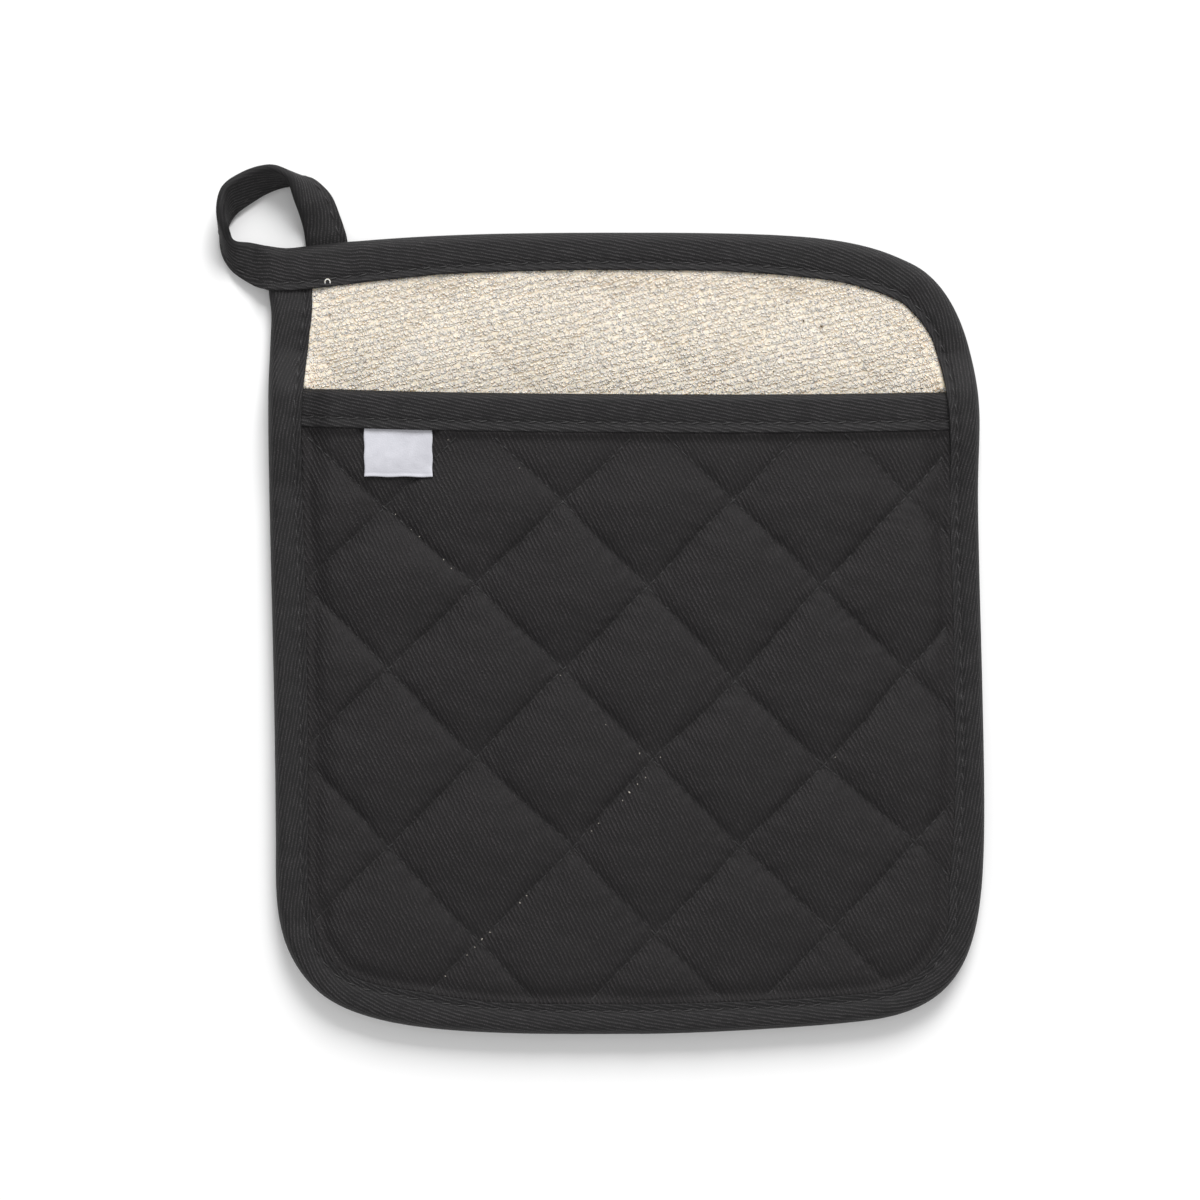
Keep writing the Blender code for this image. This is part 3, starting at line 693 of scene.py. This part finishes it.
def pushed_up(gap):
    """The soft roll of the pocket beside a tape: 1 at the tape's edge, falling away within 1.4 mm."""
    return np.exp(-(gap / np.where(gap > 0.0, 1.4 * MM, 0.9 * MM)) ** 2)


def pocket_roof(x, y):
    """The pocket's face: quilted wadding, a little lower towards the foot, uneven in slow waves of 31 and
    10 mm, with a roll beside the tapes that stops where the label goes under."""
    free = pocket_free(x, y)
    distance, leg = to_edge(x, y)
    bare = 1.0 - ease((x - LABEL_ROOM[0]) / (2.2 * MM)) * ease((LABEL_ROOM[1] - x) / (2.2 * MM))
    roll = np.maximum(pushed_up(mouth_y(x) - y - MOUTH_LEG) * bare, pushed_up(distance - leg))
    crest = POCKET_CREST - 0.6 * MM * ease((-60.0 * MM - y) / (30.0 * MM))
    uneven = 0.25 * MM * ripple(x, y, 31.0 * MM, 8) + 0.10 * MM * ripple(x, y, 10.0 * MM, 9)
    padded = POCKET_TROUGH + (crest - POCKET_TROUGH) * puff(x, y, FALLING, RISING)
    padded = padded + uneven + 0.24 * MM * puckers(x, y)
    return pocket_floor(x, y) + SEAM * (1.0 - free) + padded * free + POCKET_ROLL * roll


rows_y = stepped_rows(PANEL_FOOT, [(-121.0 * MM, 0.25 * MM), (59.0 * MM, 0.72 * MM)])
x, y = panel_grid(rows_y, 4 * 69 + 1)
share = np.clip((y - rows_y[0]) / (rows_y[-1] - rows_y[0]), 0.0, 1.0)
y = y + share ** 3 * (mouth_y(x) - HEM - rows_y[-1])
pocket = closed_cloth("pocket_quilted", x, y, pocket_roof(x, y), pocket_floor(x, y), panel_twill)
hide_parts("front_pocket")


def thread_finish(name, colour):
    """Spun polyester sewing thread: dark, with a slight lustre that picks out each stitch."""
    return new_finish(name, Base_Color=linear(colour), Roughness=0.55, Sheen_Weight=0.1)[0]


black_thread = thread_finish("black_sewing_thread", "#181617")


def stitches(name, start, end, surface, finish, radius=0.2 * MM, sink=0.3 * MM):
    """Lock stitches between pairs of needle holes in plan: each is a yarn that bows up a little between
    holes where it dives under the surface."""
    t = np.linspace(0.04, 0.96, 6)
    plan = start[:, None] + (end - start)[:, None] * t[None, :, None]
    bow = np.array([-1.0, 0.1, 0.5, 0.5, 0.1, -1.0])
    z = surface(plan[..., 0], plan[..., 1]) + np.where(bow < 0.0, sink, 0.28 * MM) * bow
    centre = np.concatenate([plan, z[..., None]], axis=2)
    level = np.zeros_like(centre)
    level[..., 0], level[..., 1] = -(end - start)[:, None, 1], (end - start)[:, None, 0]
    return yarn_mesh(name, centre, level, np.array([0.75, 1.0, 1.0, 1.0, 1.0, 0.75]) * radius, 6, finish)


STITCH = 3.2 * MM


def quilting_stitches(rows, inside):
    """Needle holes along each row of a set, every stitch length, where inside(x, y) holds at both ends."""
    starts, ends = [], []
    for row in rows:
        along = np.arange(-220.0 * MM, 220.0 * MM, STITCH) + 0.37 * STITCH
        start, u, n, _, _ = row_axes(row)
        holes = start + along[:, None] * u + stray(row, along)[:, None] * n
        ok = inside(holes[:, 0], holes[:, 1])
        ok = ok[:-1] & ok[1:]
        starts.append(holes[:-1][ok])
        ends.append(holes[1:][ok])
    return np.concatenate(starts), np.concatenate(ends)


def on_pocket(x, y):
    """Where the pocket shows between its tapes."""
    distance, leg = to_edge(x, y)
    between = (x > side_x(LEFT_SIDE, y)) & (x < side_x(RIGHT_SIDE, y)) & (y > PANEL_FOOT)
    return between & (distance > leg - 0.5 * MM) & (y < mouth_y(x) - MOUTH_LEG + 0.3 * MM)


start, end = quilting_stitches(FALLING + RISING, on_pocket)
stitches("pocket_quilting_stitches", start, end, pocket_roof, black_thread)

# Lint that the needle pulled up through the cloth, mm: x, y, size.
LINT = np.array([
    (-33.5, -96.2, 0.30), (8.3, -54.4, 0.32), (-22.7, -85.8, 0.24), (-44.2, 11.4, 0.20),
    (11.2, -43.4, 0.22), (-20.8, -83.8, 0.20), (-31.2, -94.2, 0.20), (-43.9, -106.7, 0.20),
    (-0.4, -63.2, 0.18), (12.9, -50.2, 0.18), (-35.5, -98.5, 0.18), (10.6, -52.1, 0.18),
    (6.4, -56.7, 0.18), (17.1, -44.5, 0.17), (-51.0, 17.9, 0.20), (-42.0, 8.9, 0.17),
    (-46.2, 13.4, 0.17), (-2.4, -65.4, 0.16), (-37.7, -100.7, 0.17), (-42.8, 45.1, 0.16),
    (1.6, -35.2, 0.15), (66.6, -44.5, 0.15), (-53.3, 19.9, 0.15), (-57.8, 24.2, 0.15),
    (-22.7, 37.2, 0.14), (-11.2, -21.3, 0.14)]) * MM

pale_lint = new_finish("cotton_lint", Base_Color=linear("#B9B2A8"), Roughness=0.9)[0]
tufts("pocket_lint", LINT * (1.0, 1.0, 0.8), pocket_roof, pale_lint, 61)

# ---------------------------------------------------------------------------------------------
# Label: a small bare tab of white woven satin, caught under the mouth tape. It lies on the pocket, and
# its foot is turned under.
# ---------------------------------------------------------------------------------------------

LABEL_CORNERS = np.array([[-66.4, 34.8], [-47.2, 34.7], [-47.3, 50.0], [-66.6, 50.7]]) * MM
LABEL_LONG, LABEL_THICK = 15.4 * MM, 0.45 * MM


def satin(name):
    """Polyester label satin: white with a cool cast and a soft gloss, its fine weave hardly seen."""
    made, shader = new_finish(name, Roughness=0.5)
    tree = made.node_tree
    place = add_node(tree, "ShaderNodeTexCoord").outputs["Object"]
    weave = add_node(tree, "ShaderNodeTexNoise", [
        ("Vector", place), ("Scale", 1.0 / (0.4 * MM)), ("Detail", 2.0)])
    slow = add_node(tree, "ShaderNodeTexNoise", [
        ("Vector", place), ("Scale", 1.0 / (3.0 * MM)), ("Detail", 2.0)])
    mixed = add_node(tree, "ShaderNodeMath", [(0, weave), (1, 0.6), (2, slow)], operation="MULTIPLY_ADD")
    part = add_node(tree, "ShaderNodeMapRange", [("Value", mixed), ("From Min", 0.5), ("From Max", 1.1)])
    colour = add_node(tree, "ShaderNodeMix", [
        ("Factor", part), (6, linear("#BCBCC3")), (7, linear("#CACAD1"))], data_type="RGBA")
    tree.links.new(colour.outputs[2], shader.inputs["Base Color"])
    relief = add_node(tree, "ShaderNodeBump", [("Height", weave), ("Distance", 0.05 * MM)])
    tree.links.new(relief.outputs[0], shader.inputs["Normal"])
    return made


s, t = np.meshgrid(np.linspace(0.0, 1.0, 41), np.linspace(0.0, 1.0, 57))
shares = ((1 - s) * (1 - t), s * (1 - t), s * t, (1 - s) * t)
x, y = (sum(share * corner[k] for share, corner in zip(shares, LABEL_CORNERS)) for k in (0, 1))
# Its sides and foot are a little wavy, and the hem is a low ridge with a groove above it.
x = x + 0.09 * MM * np.sin(t * 17.0 + 2.0) * (2.0 * s - 1.0) ** 5
y = y + 0.10 * MM * np.sin(s * 13.0) * (1.0 - t) ** 4
up_label = t * LABEL_LONG
hem = 0.08 * MM * np.exp(-((up_label - 0.3 * MM) / (0.35 * MM)) ** 2) \
    - 0.06 * MM * np.exp(-((up_label - 0.95 * MM) / (0.28 * MM)) ** 2)
# It drapes: the pocket's face under it is smoothed again and again, but never below itself.
cloth_z = pocket_roof(x, y)
under = cloth_z.copy()
for _ in range(60):
    under[1:-1, 1:-1] = 0.25 * (under[:-2, 1:-1] + under[2:, 1:-1] + under[1:-1, :-2] + under[1:-1, 2:])
    under[:, 0], under[:, -1] = under[:, 1], under[:, -2]
    under[0] = under[1]
    under = np.maximum(under, cloth_z)
under = under + 0.1 * MM
label_satin = satin("white_label_satin")
label = closed_cloth("woven_label", x, y, under + LABEL_THICK + hem, under, label_satin)
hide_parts("label")

# ---------------------------------------------------------------------------------------------
# Mouth tape: black twill bias tape folded over the pocket's mouth, both legs caught by one row of
# stitches along its lower edge. Its ends go under the edge tape.
# ---------------------------------------------------------------------------------------------

# Columns of points across a leg: turns round the fold, shares of the flat, ways from the stitches, and
# ways in from the leg's edge.
NOSE_TURN = np.linspace(0.0, math.pi / 2.0, 7)
FLAT_PLACES = np.array([0.1, 0.25, 0.42, 0.6, 0.78, 0.9, 1.0])
GROOVE_PLACES = np.array([-0.8, -0.4, 0.0, 0.4, 0.8]) * MM
RIM_PLACES = np.array([0.75, 0.4, 0.12]) * MM
BEFORE_GROOVE = 1.3 * MM
STITCH_COLUMN = len(NOSE_TURN) + len(FLAT_PLACES) + len(GROOVE_PLACES) // 2

MOUTH_TAPE_FROM, MOUTH_TAPE_TO = 106.0 * MM, -92.6 * MM
MOUTH_STITCH_IN = 2.7 * MM
TAPE_STITCH = 4.6 * MM


def tape_depths(leg, nose, stitch_in):
    """Depths from the fold across one leg: round the nose, then over the flat to the stitches, through
    their groove and on to the leg's edge."""
    round_part = nose[:, None] * (1.0 - np.cos(NOSE_TURN))[None]
    to_stitch = leg - stitch_in
    flat = nose[:, None] + (to_stitch - BEFORE_GROOVE - nose)[:, None] * FLAT_PLACES[None]
    return np.concatenate([round_part, flat, to_stitch[:, None] + GROOVE_PLACES[None],
                           leg[:, None] - RIM_PLACES[None]], axis=1)


def crown(depth, leg, stitch_in):
    """Roundness of a leg's outer face: 0 at the fold and at the stitches, 1 at three tenths of the way."""
    s = np.clip(depth / (leg - stitch_in)[:, None], 0.0, 1.0)
    return 1.0 - np.where(s < 0.3, (0.3 - s) / 0.3, (s - 0.3) / 0.7) ** 2


def folded_tape(name, origin, across, up, leg, depth, thick, top, bottom, finish):
    """Tape folded over an edge. At each station the fold is at origin, across points in over the cloth and
    up away from it; top and bottom are the outer faces' heights along up at each depth. Round the nose
    both close on their middle as the sine of the turn. The inner faces are thick behind the outer ones.
    U runs along the tape and V is the way from the fold, less than 0 on the under side."""
    middle = 0.5 * (top + bottom)
    closing = np.ones(depth.shape)
    closing[:, :len(NOSE_TURN)] = np.sin(NOSE_TURN)[None]
    upper = middle + (top - middle) * closing
    lower = middle - (middle - bottom) * closing
    t = thick[:, None]
    last = depth.shape[1] - 1
    picks = [last, len(NOSE_TURN) + 3, len(NOSE_TURN)]
    inner_depth = depth[:, picks] - np.stack([0.13 * MM + 0.0 * leg, 0.0 * leg, -0.3 * thick], axis=1)
    inner_top, inner_bottom = top[:, picks] - t, bottom[:, picks] + t
    end_top = np.stack([top[:, -1] - 0.3 * thick, top[:, -1] - 0.75 * thick], axis=1)
    end_bottom = np.stack([bottom[:, -1] + 0.75 * thick, bottom[:, -1] + 0.3 * thick], axis=1)
    d = np.concatenate([depth[:, ::-1], depth[:, 1:], leg[:, None], leg[:, None], inner_depth,
                        thick[:, None], inner_depth[:, ::-1], leg[:, None], leg[:, None]], axis=1)
    z = np.concatenate([lower[:, ::-1], upper[:, 1:], end_top, inner_top,
                        middle[:, :1], inner_bottom[:, ::-1], end_bottom], axis=1)
    rings = origin[:, None] + across[:, None] * d[..., None] + up[:, None] * z[..., None]
    stations, around = d.shape
    index = np.arange(stations * around).reshape(stations, around)
    after = np.roll(index, -1, axis=1)
    quads = np.stack([index[:-1], after[:-1], after[1:], index[1:]], axis=-1)
    run = way_along(rings.mean(axis=1))
    girth = np.linalg.norm(rings - np.roll(rings, -1, axis=1), axis=2)
    v = np.concatenate([np.zeros((stations, 1)), np.cumsum(girth, axis=1)], axis=1)
    v = v - v[:, last, None]
    u = np.broadcast_to(run[:, None], v.shape)
    corner_u = np.stack([u[:-1, :-1], u[:-1, 1:], u[1:, 1:], u[1:, :-1]], axis=-1)
    corner_v = np.stack([v[:-1, :-1], v[:-1, 1:], v[1:, 1:], v[1:, :-1]], axis=-1)
    uv = np.stack([corner_u, corner_v], axis=-1).reshape(-1, 2)
    caps = [index[0][None, ::-1], index[-1][None]]
    cap_uv = np.zeros((2 * around, 2))
    return add_mesh(name, rings.reshape(-1, 3), [quads.reshape(-1, 4)] + caps, finish,
                    np.concatenate([uv, cap_uv]))


def groove(depth, leg, run, stitch_in):
    """What the stitches pull out of the outer face: a groove, deeper at each needle hole, creases that
    cross the tape near them, and beyond them the leg's edge, which stands up again."""
    off = (depth - (leg - stitch_in)[:, None]) / (0.75 * MM)
    pull = 0.24 + 0.08 * np.cos(run / TAPE_STITCH * 2.0 * math.pi)[:, None]
    wave = np.sin(run / (5.1 * MM) * 2.0 * math.pi + 2.2 * ripple(run, run * 0.0, 37.0 * MM, 31))[:, None]
    crease = 0.08 * wave * np.exp(-(off / 3.0) ** 2)
    return (pull * np.exp(-off * off) + crease - 0.10 * ease((off - 0.6) / 1.6)) * MM


TAPE_WALE, TAPE_CLIMB, TAPE_CALM = 0.98 * MM, -12.0, 3.0 * MM
# The tape's wales are painted with more contrast than the panel's: more painted highlight on the ridges and
# painted shade between them.
binding_twill = twill("black_twill_bias_tape", TAPE_WALE, TAPE_CLIMB, "#141314", "#403E3F", "UV",
                      0.18 * MM, TAPE_CALM)

stations = np.linspace(MOUTH_TAPE_FROM, MOUTH_TAPE_TO, 300)
fold = np.stack([stations, mouth_y(stations)], axis=1)
inner = inward(fold)
leg = np.full(len(fold), MOUTH_LEG)
depth = tape_depths(leg, np.full(len(fold), 2.0 * MM), MOUTH_STITCH_IN)
run = way_along(fold)
px, py = (fold[:, None, k] + inner[:, None, k] * depth for k in (0, 1))
floor_z = pocket_floor(px, py)
dent = groove(depth, leg, run, MOUTH_STITCH_IN)
top = floor_z + SEAM + HEM - dent + 0.12 * MM * ripple(px, py, 15.0 * MM, 33)
top = top + 0.5 * MM * crown(depth, leg, MOUTH_STITCH_IN)
bottom = floor_z - HEM + 0.4 * dent
level = np.zeros((len(fold), 1))
upright = np.tile([0.0, 0.0, 1.0], (len(fold), 1))
mouth_tape = folded_tape("mouth_tape", np.concatenate([fold, level], axis=1),
                         np.concatenate([inner, level], axis=1), upright, leg, depth,
                         np.full(len(fold), TAPE), top, bottom, binding_twill)
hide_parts("pocket_binding")


def stitch_row(name, points, up, finish, seed):
    """Stitches along any line in space, points and up being arrays along it: each is a yarn that lies a
    little slantwise in the groove, shows for two thirds of the stitch and dives at both ends."""
    run = way_along(points)
    starts = np.arange(0.3 * TAPE_STITCH, run[-1] - TAPE_STITCH, TAPE_STITCH)
    draw = np.random.default_rng(seed)
    starts = starts + draw.uniform(-0.3, 0.3, len(starts)) * MM
    t = np.linspace(0.0, 1.0, 6)
    at = starts[:, None] + 0.68 * TAPE_STITCH * t[None]
    centre = np.stack([np.interp(at, run, points[:, k]) for k in range(3)], axis=-1)
    lift = np.stack([np.interp(at, run, up[:, k]) for k in range(3)], axis=-1)
    sideways = of_length_one(np.cross(lift, np.gradient(centre, axis=1)))
    slant = (t[None] - 0.5) * draw.uniform(0.35, 0.6, (len(starts), 1)) * MM
    bow = np.array([-0.35, 0.0, 0.09, 0.09, 0.0, -0.35]) * MM
    centre = centre + lift * bow[None, :, None] + sideways * slant[..., None]
    radius = np.array([0.7, 1.0, 1.0, 1.0, 1.0, 0.7]) * 0.2 * MM
    return yarn_mesh(name, centre, sideways, radius, 6, finish)


# The binding's thread is painted a little lighter than the quilting thread: painted highlight where its
# stitches catch the light.
tape_thread = thread_finish("black_binding_thread", "#232122")
line = np.stack([px[:, STITCH_COLUMN], py[:, STITCH_COLUMN], top[:, STITCH_COLUMN] + 0.06 * MM], axis=1)
mouth_stitches = stitch_row("mouth_tape_stitches", line, upright, tape_thread, 51)

# ---------------------------------------------------------------------------------------------
# Edge tape and hanging loop: one length of black twill bias tape, folded over all the layers from the
# top left corner round the foot and back along the top, then on past the corner, stitched shut, as a
# loop whose tail comes back under the top edge.
# ---------------------------------------------------------------------------------------------

# The loop from the body's corner to the tail's end: place, folded edge x, y, z, stitched edge x, y, z, mm.
LOOP = [
    ("corner", -94.7, 100.9, 3.2, -94.7, 88.4, 2.9),
    ("lower strand", -99.5, 101.75, 4.0, -99.5, 90.2, 1.8),
    ("start of the turn", -104.2, 102.2, 6.5, -104.6, 94.2, 0.9),
    ("left turn, lower", -106.0, 105.6, 10.4, -107.3, 99.9, 0.9),
    ("left turn", -107.3, 110.6, 11.4, -107.3, 105.9, 0.9),
    ("left turn, upper", -106.3, 117.0, 10.2, -104.9, 110.2, 0.9),
    ("upper strand, left", -101.4, 120.9, 8.8, -99.7, 114.0, 0.9),
    ("upper strand", -96.1, 122.7, 9.0, -94.4, 117.1, 0.9),
    ("top", -91.9, 122.3, 10.2, -89.2, 118.9, 0.9),
    ("turn-over", -88.3, 119.4, 10.6, -83.0, 119.7, 0.9),
    ("right strand, top", -86.6, 113.2, 7.6, -77.6, 115.9, 1.05),
    ("right strand", -85.0, 107.6, 3.6, -74.4, 109.8, 1.25),
    ("tail, where it goes under", -84.2, 102.9, 1.4, -72.2, 102.9, 1.35),
    ("tail, its end", -83.6, 94.6, 0.75, -71.9, 94.6, 0.75),
]
LOOP_STEPS = 12
LOOP_THICK = 2.3 * MM
STITCH_IN = 2.1 * MM
# The tail is pressed thinner under the top edge, and so is the tape's start under the corner.
TAIL_PRESSED = 1.0 * MM
SUNK = 1.1 * MM


def stack_roof(x, y):
    """Top of the layers that the edge tape holds: pad and terry, with the taped mouth and pocket below."""
    bare = HEM + SEAM + GAP + TERRY
    with_pocket = bare + GAP + mouth_lift(x, y) + SEAM
    above = y - mouth_y(x) + 3.0 * MM
    below = mouth_y(x) - y - MOUTH_LEG + 3.0 * MM
    taped = with_pocket + HEM * (1.0 - ease(below / (22.0 * MM)))
    return taped + (bare - taped) * ease(above / (15.0 * MM))


def catmull(rows, steps):
    """Catmull-Rom curve through rows of numbers, steps points to each stretch."""
    rows = np.vstack([2 * rows[0] - rows[1], rows, 2 * rows[-1] - rows[-2]])
    t = np.linspace(0.0, 1.0, steps, endpoint=False)[:, None, None]
    a, b, c, d = (rows[None, k:len(rows) - 3 + k] for k in range(4))
    curve = 2 * b + (c - a) * t + (2 * a - 5 * b + 4 * c - d) * t ** 2 + (3 * b - a - 3 * c + d) * t ** 3
    return np.concatenate([0.5 * curve.transpose(1, 0, 2).reshape(-1, rows.shape[1]), rows[-2:-1]])


fold, leg, run = edge_line(0.8 * MM)
inner = inward(fold)
body_count = len(fold)
# The tape's middle lies half way up the layers, which are measured 5 mm in from the edge.
roof = stack_roof(fold[:, 0] + inner[:, 0] * 5.0 * MM, fold[:, 1] + inner[:, 1] * 5.0 * MM)
centre_z = 0.5 * (roof + HEM)
body_fold = np.concatenate([fold, centre_z[:, None]], axis=1)
body_stitched = np.concatenate([fold + inner * leg[:, None], centre_z[:, None]], axis=1)
corner_rows = np.concatenate([body_fold[[-9, -1]], body_stitched[[-9, -1]]], axis=1)
rows = np.vstack([corner_rows, np.array([row[1:] for row in LOOP]) * MM])
ribbon = catmull(rows, LOOP_STEPS)[LOOP_STEPS + 1:]
folded = np.concatenate([body_fold, ribbon[:, :3]])
stitched = np.concatenate([body_stitched, ribbon[:, 3:]])
leg = np.linalg.norm(stitched - folded, axis=1)
across = of_length_one(stitched - folded)
middle_line = 0.5 * (folded + stitched)
up = of_length_one(np.cross(np.gradient(middle_line, axis=0), across))
run = way_along(middle_line)
# Past the corner the tape closes from 0, folded over the body, to 1, folded shut.
shut = ease((run - run[body_count - 1] - 4.0 * MM) / (7.0 * MM))
half_body = np.concatenate([centre_z, np.full(len(ribbon), centre_z[-1])])
strand = LOOP_THICK - TAIL_PRESSED * ease((run - run[-1] + 10.0 * MM) / (6.0 * MM))
sunk = SUNK * (1.0 - ease((run - 4.9 * MM) / (7.5 * MM)))
# The top edge's under side is raised where the tail lies below it, between these two places in X.
over_tail = ease((folded[:, 0] + 88.0 * MM) / (4.0 * MM)) * ease((-67.5 * MM - folded[:, 0]) / (4.0 * MM))
over_tail = over_tail * (1.0 - shut) * (folded[:, 1] > 95.0 * MM)
nose = 2.8 * MM * (1.0 - shut) + 0.5 * strand * shut
thick = TAPE * (1.0 - shut) + 0.48 * strand * shut
depth = tape_depths(leg, nose, STITCH_IN)
px, py = (folded[:, None, k] + across[:, None, k] * depth for k in (0, 1))
dent = groove(depth, leg, run, STITCH_IN)
bulge = crown(depth, leg, STITCH_IN)
is_body = (np.arange(len(folded)) < body_count)[:, None]
body_top = np.where(is_body, stack_roof(px, py) + HEM - half_body[:, None], half_body[:, None])
body_top = body_top + 0.65 * MM * bulge - dent - sunk[:, None]
raised = sunk + (TAIL_PRESSED + 0.4 * MM) * over_tail
body_bottom = 0.4 * np.maximum(dent, 0.0) + (raised - half_body)[:, None]
strand_top = 0.5 * strand[:, None] + 0.15 * MM * bulge - 0.6 * dent
swelling = 0.10 * MM * ripple(run[:, None] + 0.0 * depth, depth, 13.0 * MM, 41)
top = body_top * (1.0 - shut)[:, None] + strand_top * shut[:, None] + swelling
bottom = body_bottom * (1.0 - shut)[:, None] - (0.5 * strand[:, None] - 0.4 * dent) * shut[:, None]
edge_tape = folded_tape("edge_tape_and_loop", folded, across, up, leg, depth, thick, top, bottom,
                        binding_twill)
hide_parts("edge_binding", "hanging_loop")

seam_line = folded + across * depth[:, STITCH_COLUMN, None]
upper_line = seam_line + up * (top[:, STITCH_COLUMN, None] + 0.06 * MM)
lower_line = seam_line + up * (bottom[:, STITCH_COLUMN, None] + 0.22 * MM)
edge_stitches = [
    stitch_row("edge_tape_stitches", upper_line, up, tape_thread, 52),
    stitch_row("edge_tape_stitches_back", lower_line, -up, tape_thread, 53),
]

# ---------------------------------------------------------------------------------------------
# Studio: a plain pale sweep of floor, one large soft light beyond the top edge with a weak one at the
# foot, and the camera straight above, as the product was photographed.
# ---------------------------------------------------------------------------------------------

FLOOR_HALF = 4.0
floor_corners = [(FLOOR_HALF * i, FLOOR_HALF * j, 0.0) for i, j in ((-1, -1), (1, -1), (1, 1), (-1, 1))]
floor_mesh = bpy.data.meshes.new("floor")
floor_mesh.from_pydata(floor_corners, [], [(0, 1, 2, 3)])
floor_mesh.materials.append(new_finish("pale_floor", Base_Color=linear("#FAFAFA"), Roughness=0.9)[0])
floor = bpy.data.objects.new("floor", floor_mesh)
bpy.context.scene.collection.objects.link(floor)

world = bpy.data.worlds.new("studio")
world.use_nodes = True
background = world.node_tree.nodes["Background"]
background.inputs["Color"].default_value = linear("#FFFFFF")
background.inputs["Strength"].default_value = 0.55
bpy.context.scene.world = world


def soft_light(name, place, aim, size, watts):
    """Square area light at place, turned towards aim."""
    lamp = bpy.data.lights.new(name, "AREA")
    lamp.size, lamp.energy = size, watts
    obj = bpy.data.objects.new(name, lamp)
    bpy.context.scene.collection.objects.link(obj)
    toward = np.array(aim) - np.array(place)
    pitch = math.acos(-toward[2] / np.linalg.norm(toward))
    obj.location = place
    obj.rotation_euler = (pitch, 0.0, math.atan2(toward[1], toward[0]) - math.pi / 2.0)


soft_light("key_softbox", (0.24, 1.12, 0.89), (0.0, 0.0, 0.0), 0.7, 22.0)
soft_light("fill_softbox", (0.0, -0.85, 0.5), (0.0, -0.12, 0.0), 0.6, 1.3)

camera_data = bpy.data.cameras.new("camera")
camera_data.lens, camera_data.sensor_width = 100.0, 36.0
camera = bpy.data.objects.new("camera", camera_data)
camera.location = (0.0, 0.0, 0.953)
bpy.context.scene.collection.objects.link(camera)
bpy.context.scene.camera = camera
bpy.context.scene.view_settings.view_transform = "Standard"
